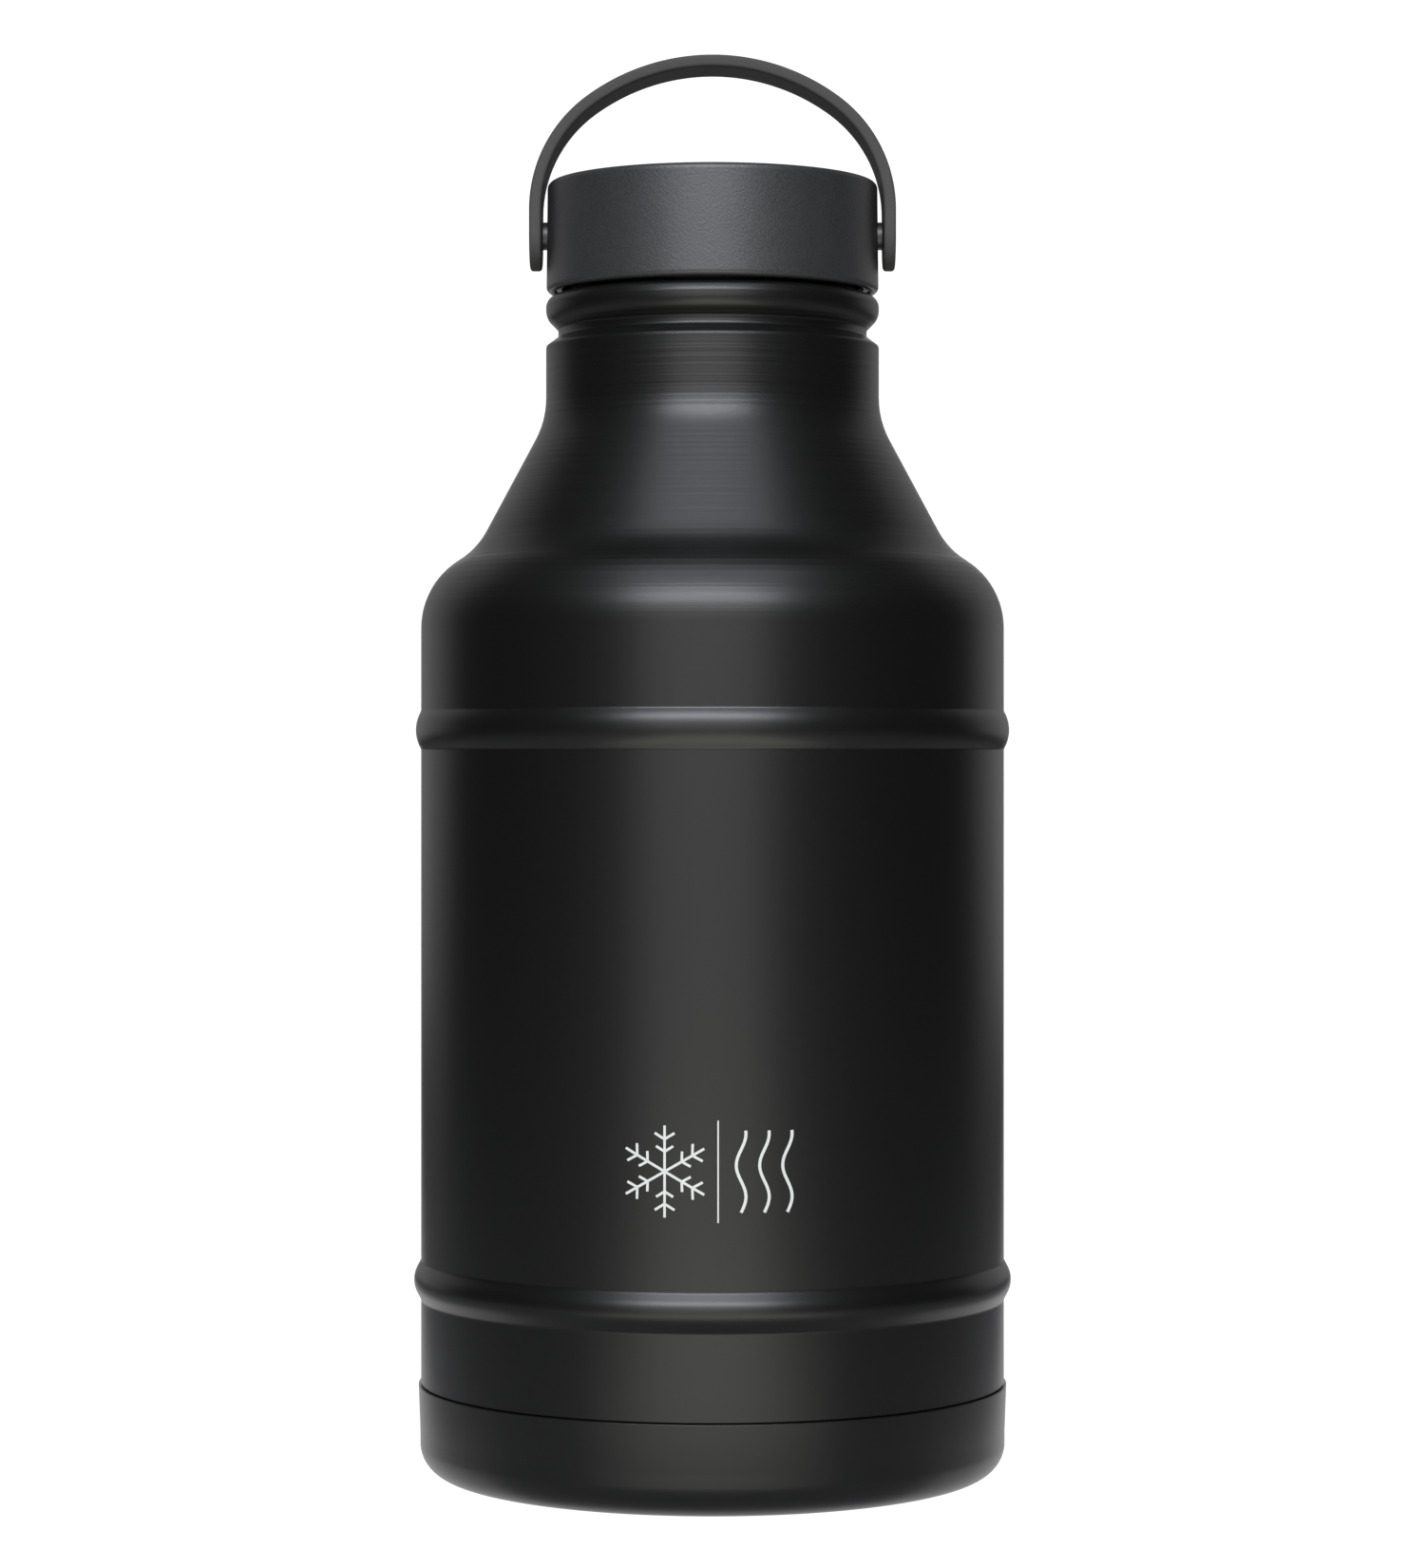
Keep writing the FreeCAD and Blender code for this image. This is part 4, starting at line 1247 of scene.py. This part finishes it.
def make_print_tree():
    tree, nodes, start = geometry_tree("print", PRINT_INPUTS)
    get = start.out
    drawn = nodes.make("GeometryNodeMeshToCurve", {}, {"Mesh": get("Geometry")})
    strokes = nodes.make("GeometryNodeResampleCurve", {"mode": "LENGTH"}, {"Curve": drawn, "Length": STROKE_STEP})
    square = nodes.make(
        "GeometryNodeCurvePrimitiveQuadrilateral", {"mode": "RECTANGLE"}, {"Width": get("Nib"), "Height": get("Ink")}
    )
    inked = nodes.make("GeometryNodeCurveToMesh", {}, {"Curve": strokes, "Profile Curve": square, "Fill Caps": True})
    spots = nodes.make(
        "GeometryNodeMeshLine", {}, {"Count": get("Copies"), "Offset": nodes.vector(get("Step Between"), 0.0, 0.0)}
    )
    turn = nodes.make("GeometryNodeInputIndex") * get("Turn Between")
    copies = nodes.make(
        "GeometryNodeInstanceOnPoints",
        {},
        {"Points": spots, "Instance": inked, "Rotation": nodes.vector(0.0, 0.0, turn)},
    )
    flat = nodes.make("GeometryNodeRealizeInstances", {}, {"Geometry": copies})
    x, y, z = nodes.parts(nodes.make("GeometryNodeInputPosition"))
    angle = (x + get("Across")) / get("Wall Radius")
    radius = get("Wall Radius") + z
    place = nodes.vector(radius * angle.math("SINE"), radius * angle.math("COSINE") * -1, y + get("Height"))
    wrapped = nodes.make("GeometryNodeSetPosition", {}, {"Geometry": flat, "Position": place})
    end_tree(nodes, wrapped, get("Material"))
    return tree


print_tree = make_print_tree()
print("printing tree:", len(print_tree.nodes), "nodes")

# %% [markdown]
# ### The strokes
#
# Only one arm of the snowflake and one curl of steam are drawn. The ink is a pale grey, not white: a thin
# screen print lets the black below dull it.

# %% The mark
def printed(strokes, **more):
    """A mesh of strokes, given as rows of (x, y) points in mm, printed on the wall."""
    points, edges = [], []
    for stroke in strokes:
        first = len(points)
        points += [(x * MM, y * MM, 0) for x, y in stroke]
        edges += [(first + i, first + i + 1) for i in range(len(stroke) - 1)]
    mesh = bpy.data.meshes.new("strokes")
    mesh.from_pydata(points, edges, [])
    inputs = {name.replace("_", " "): value for name, value in more.items()}
    fixed = {"Wall Radius": (BODY_R + 0.025) * MM, "Height": MARK_Z * MM, "Material": ink_pale}
    return run_tree(print_tree, mesh, {**fixed, **inputs})


def screen_ink(nodes, place):
    mesh_marks = grain(nodes, place, 0.12 * MM, 1.0)
    return {
        "Base Color": tone(nodes, mesh_marks, (0.27, 0.28, 0.27), (0.36, 0.37, 0.36)),
        "Roughness": 0.45 + mesh_marks * 0.1,
    }


ink_pale = make_finish("pale_screen_ink", {"Specular IOR Level": 0.3}, screen_ink)
MARK_Z = 68.3
BARB = math.radians(58)
arm = [[(0.0, 0.0), (0.0, 9.0)]]
for foot, reach in ((3.9, 2.0), (6.3, 2.3)):
    tip = (reach * math.sin(BARB), foot + reach * math.cos(BARB))
    arm.append([(-tip[0], tip[1]), (0.0, foot), tip])
wave = [[(0.95 * math.sin(t / 16 * 2.6 * math.pi), -8.0 + t) for t in np.linspace(0, 16, 49)]]

parts = {
    "snowflake": printed(arm, Copies=6, Turn_Between=math.pi / 3, Across=-0.0094),
    "divider": printed([[(0.0, -10.0), (0.0, 10.0)]], Nib=0.0003, Across=0.0011),
    "steam": printed(wave, Copies=3, Step_Between=0.0046, Across=0.0056, Nib=0.0006),
}
for name, mesh in parts.items():
    finish_piece(f"mark_{name}", mesh, "bottle", [])

# %% [markdown]
# ## Floor and light
#
# A dark satin bottle shows the room more than itself. The floor's grey carries painted light: it is pale near the
# bottle and painted darker further off, a painted pool of light with painted shade where the bottle's dark bands
# would mirror it. Behind the bottle a sheet of lit white acrylic sweeps up from the floor, and its reflection
# lights the two edges. The bottle stands on a lit plinth 2 cm high, because white close round the foot would
# wash out the base.

# %% Floor and backdrop
def staged(name, line, half_width, material):
    """A sheet that follows a line of (y, z) points in metres, half_width(y) to each side."""
    points = [(side * half_width(y), y, z) for y, z in line for side in (-1, 1)]
    faces = [(2 * i, 2 * i + 1, 2 * i + 3, 2 * i + 2) for i in range(len(line) - 1)]
    mesh = bpy.data.meshes.new(name)
    mesh.from_pydata(points, [], faces)
    mesh.shade_smooth()
    mesh.materials.append(material)
    put(name, mesh)


def lit_acrylic(nodes, place):
    haze = grain(nodes, place, 0.3)
    return {
        "Base Color": tone(nodes, haze, (0.10, 0.10, 0.10), (0.12, 0.12, 0.12)),
        "Emission Color": tone(nodes, haze, (0.98, 0.98, 0.98), (1.0, 1.0, 1.0)),
    }


def floor_paint_with_painted_light_pool(nodes, place):
    reach = nodes.make("ShaderNodeVectorMath", {"operation": "LENGTH"}, {0: place}, out=1)
    # Painted light: the colour is pale near the bottle and painted darker with distance, a painted pool of light with
    # painted shade round it.
    far = ((reach - 0.25) / 0.9).clamped()
    mottle = grain(nodes, place, 0.4)
    return {"Base Color": tone(nodes, far * 0.96 + mottle * 0.04, (0.34, 0.34, 0.34), (0.05, 0.05, 0.05))}


matt = {"Specular IOR Level": 0.1}
acrylic = make_finish("lit_acrylic", {"Roughness": 0.8, "Emission Strength": 1.0, **matt}, lit_acrylic)
# The floor's finish carries painted light: pale near the bottle, painted shade further off.
paint = make_finish("floor_with_painted_light_pool", {"Roughness": 0.9, **matt}, floor_paint_with_painted_light_pool)
SWEEP_FRONT, SWEEP_BACK, SWEEP_R, SWEEP_TOP = -0.032, 1.1, 0.4, 1.0
PLINTH_H, PLINTH_MM = 0.02, 53.5
sweep = [
    (SWEEP_BACK + SWEEP_R * math.sin(t), SWEEP_R * (1 - math.cos(t)) - PLINTH_H)
    for t in np.linspace(0, math.pi / 2, 24)
]
sheet_line = [(SWEEP_FRONT, -PLINTH_H), (0.0, -PLINTH_H)] + sweep + [(SWEEP_BACK + SWEEP_R, SWEEP_TOP)]
plinth_path = [(0, -PLINTH_H / MM, 0), (PLINTH_MM, -PLINTH_H / MM, 0.5), (PLINTH_MM, 0, 0.5), (0, 0, 0)]
staged("light_table", sheet_line, lambda y: 0.154 + 0.172 * y, acrylic)
put("plinth", turned(closed(plinth_path), acrylic, 96))
FLOOR_Z, FLOOR_HALF = -PLINTH_H - 0.0005, 3.0
staged("studio_floor", [(-FLOOR_HALF, FLOOR_Z), (FLOOR_HALF, FLOOR_Z)], lambda y: FLOOR_HALF, paint)
print("acrylic from y", sheet_line[0][0], "to", sheet_line[-1][0], "m, floor at z", FLOOR_Z)

# %% [markdown]
# ### The lights
#
# Each light is there for one reflection. The front box is the broad, dim band down the middle, and nothing
# stands at the sides, which leaves the dark bands there. The key box, high in front, is the bright spot on the
# shoulder and the neck. The top box lights the cap's edges and the ribs from above. The low box lies on the
# floor and fills the base, which the front box no longer reaches. Two rear boxes lift the outermost edges.

# %% Lights
def soft_box(name, size, place, aim, radiance, colour=(1, 1, 1)):
    """A rectangular light, facing its aim, as bright as the given radiance."""
    light = bpy.data.lights.new(name, "AREA")
    light.shape = "RECTANGLE"
    light.size, light.size_y = size
    light.color = colour
    light.energy = radiance * math.pi * size[0] * size[1]
    lamp = put(name, light)
    lamp.location = place
    lamp.rotation_euler = (Vector(aim) - Vector(place)).to_track_quat("-Z", "Y").to_euler()


MIDDLE = (0, 0, 0.15)
COOL, WARM = (0.95, 0.97, 1.05), (1.03, 1.03, 0.90)
soft_box("front_box", (1.75, 2.0), (-0.12, -1.9, 0.5), MIDDLE, 2.6)
soft_box("key_box", (1.5, 0.42), (-0.1, -1.38, 1.16), MIDDLE, 24.0, COOL)
soft_box("top_box", (1.5, 0.8), (-0.05, -0.65, 1.75), MIDDLE, 4.2, COOL)
soft_box("low_box", (0.3, 0.42), (0, -0.37, -0.015), (0, -0.37, 1), 3.2, WARM)
soft_box("rear_left_box", (1.4, 1.8), (-1.15, 1.45, 0.6), MIDDLE, 0.5)
soft_box("rear_right_box", (1.4, 1.8), (1.15, 1.45, 0.6), MIDDLE, 0.5)

print(len(bpy.data.lights), "lights")

world = bpy.data.worlds.new("room")
bpy.context.scene.world = world
world.use_nodes = True
room_light = world.node_tree.nodes["Background"].inputs
room_light["Color"].default_value = (1, 1, 1, 1)
room_light["Strength"].default_value = 0.04
bpy.context.scene.view_settings.view_transform = "Standard"
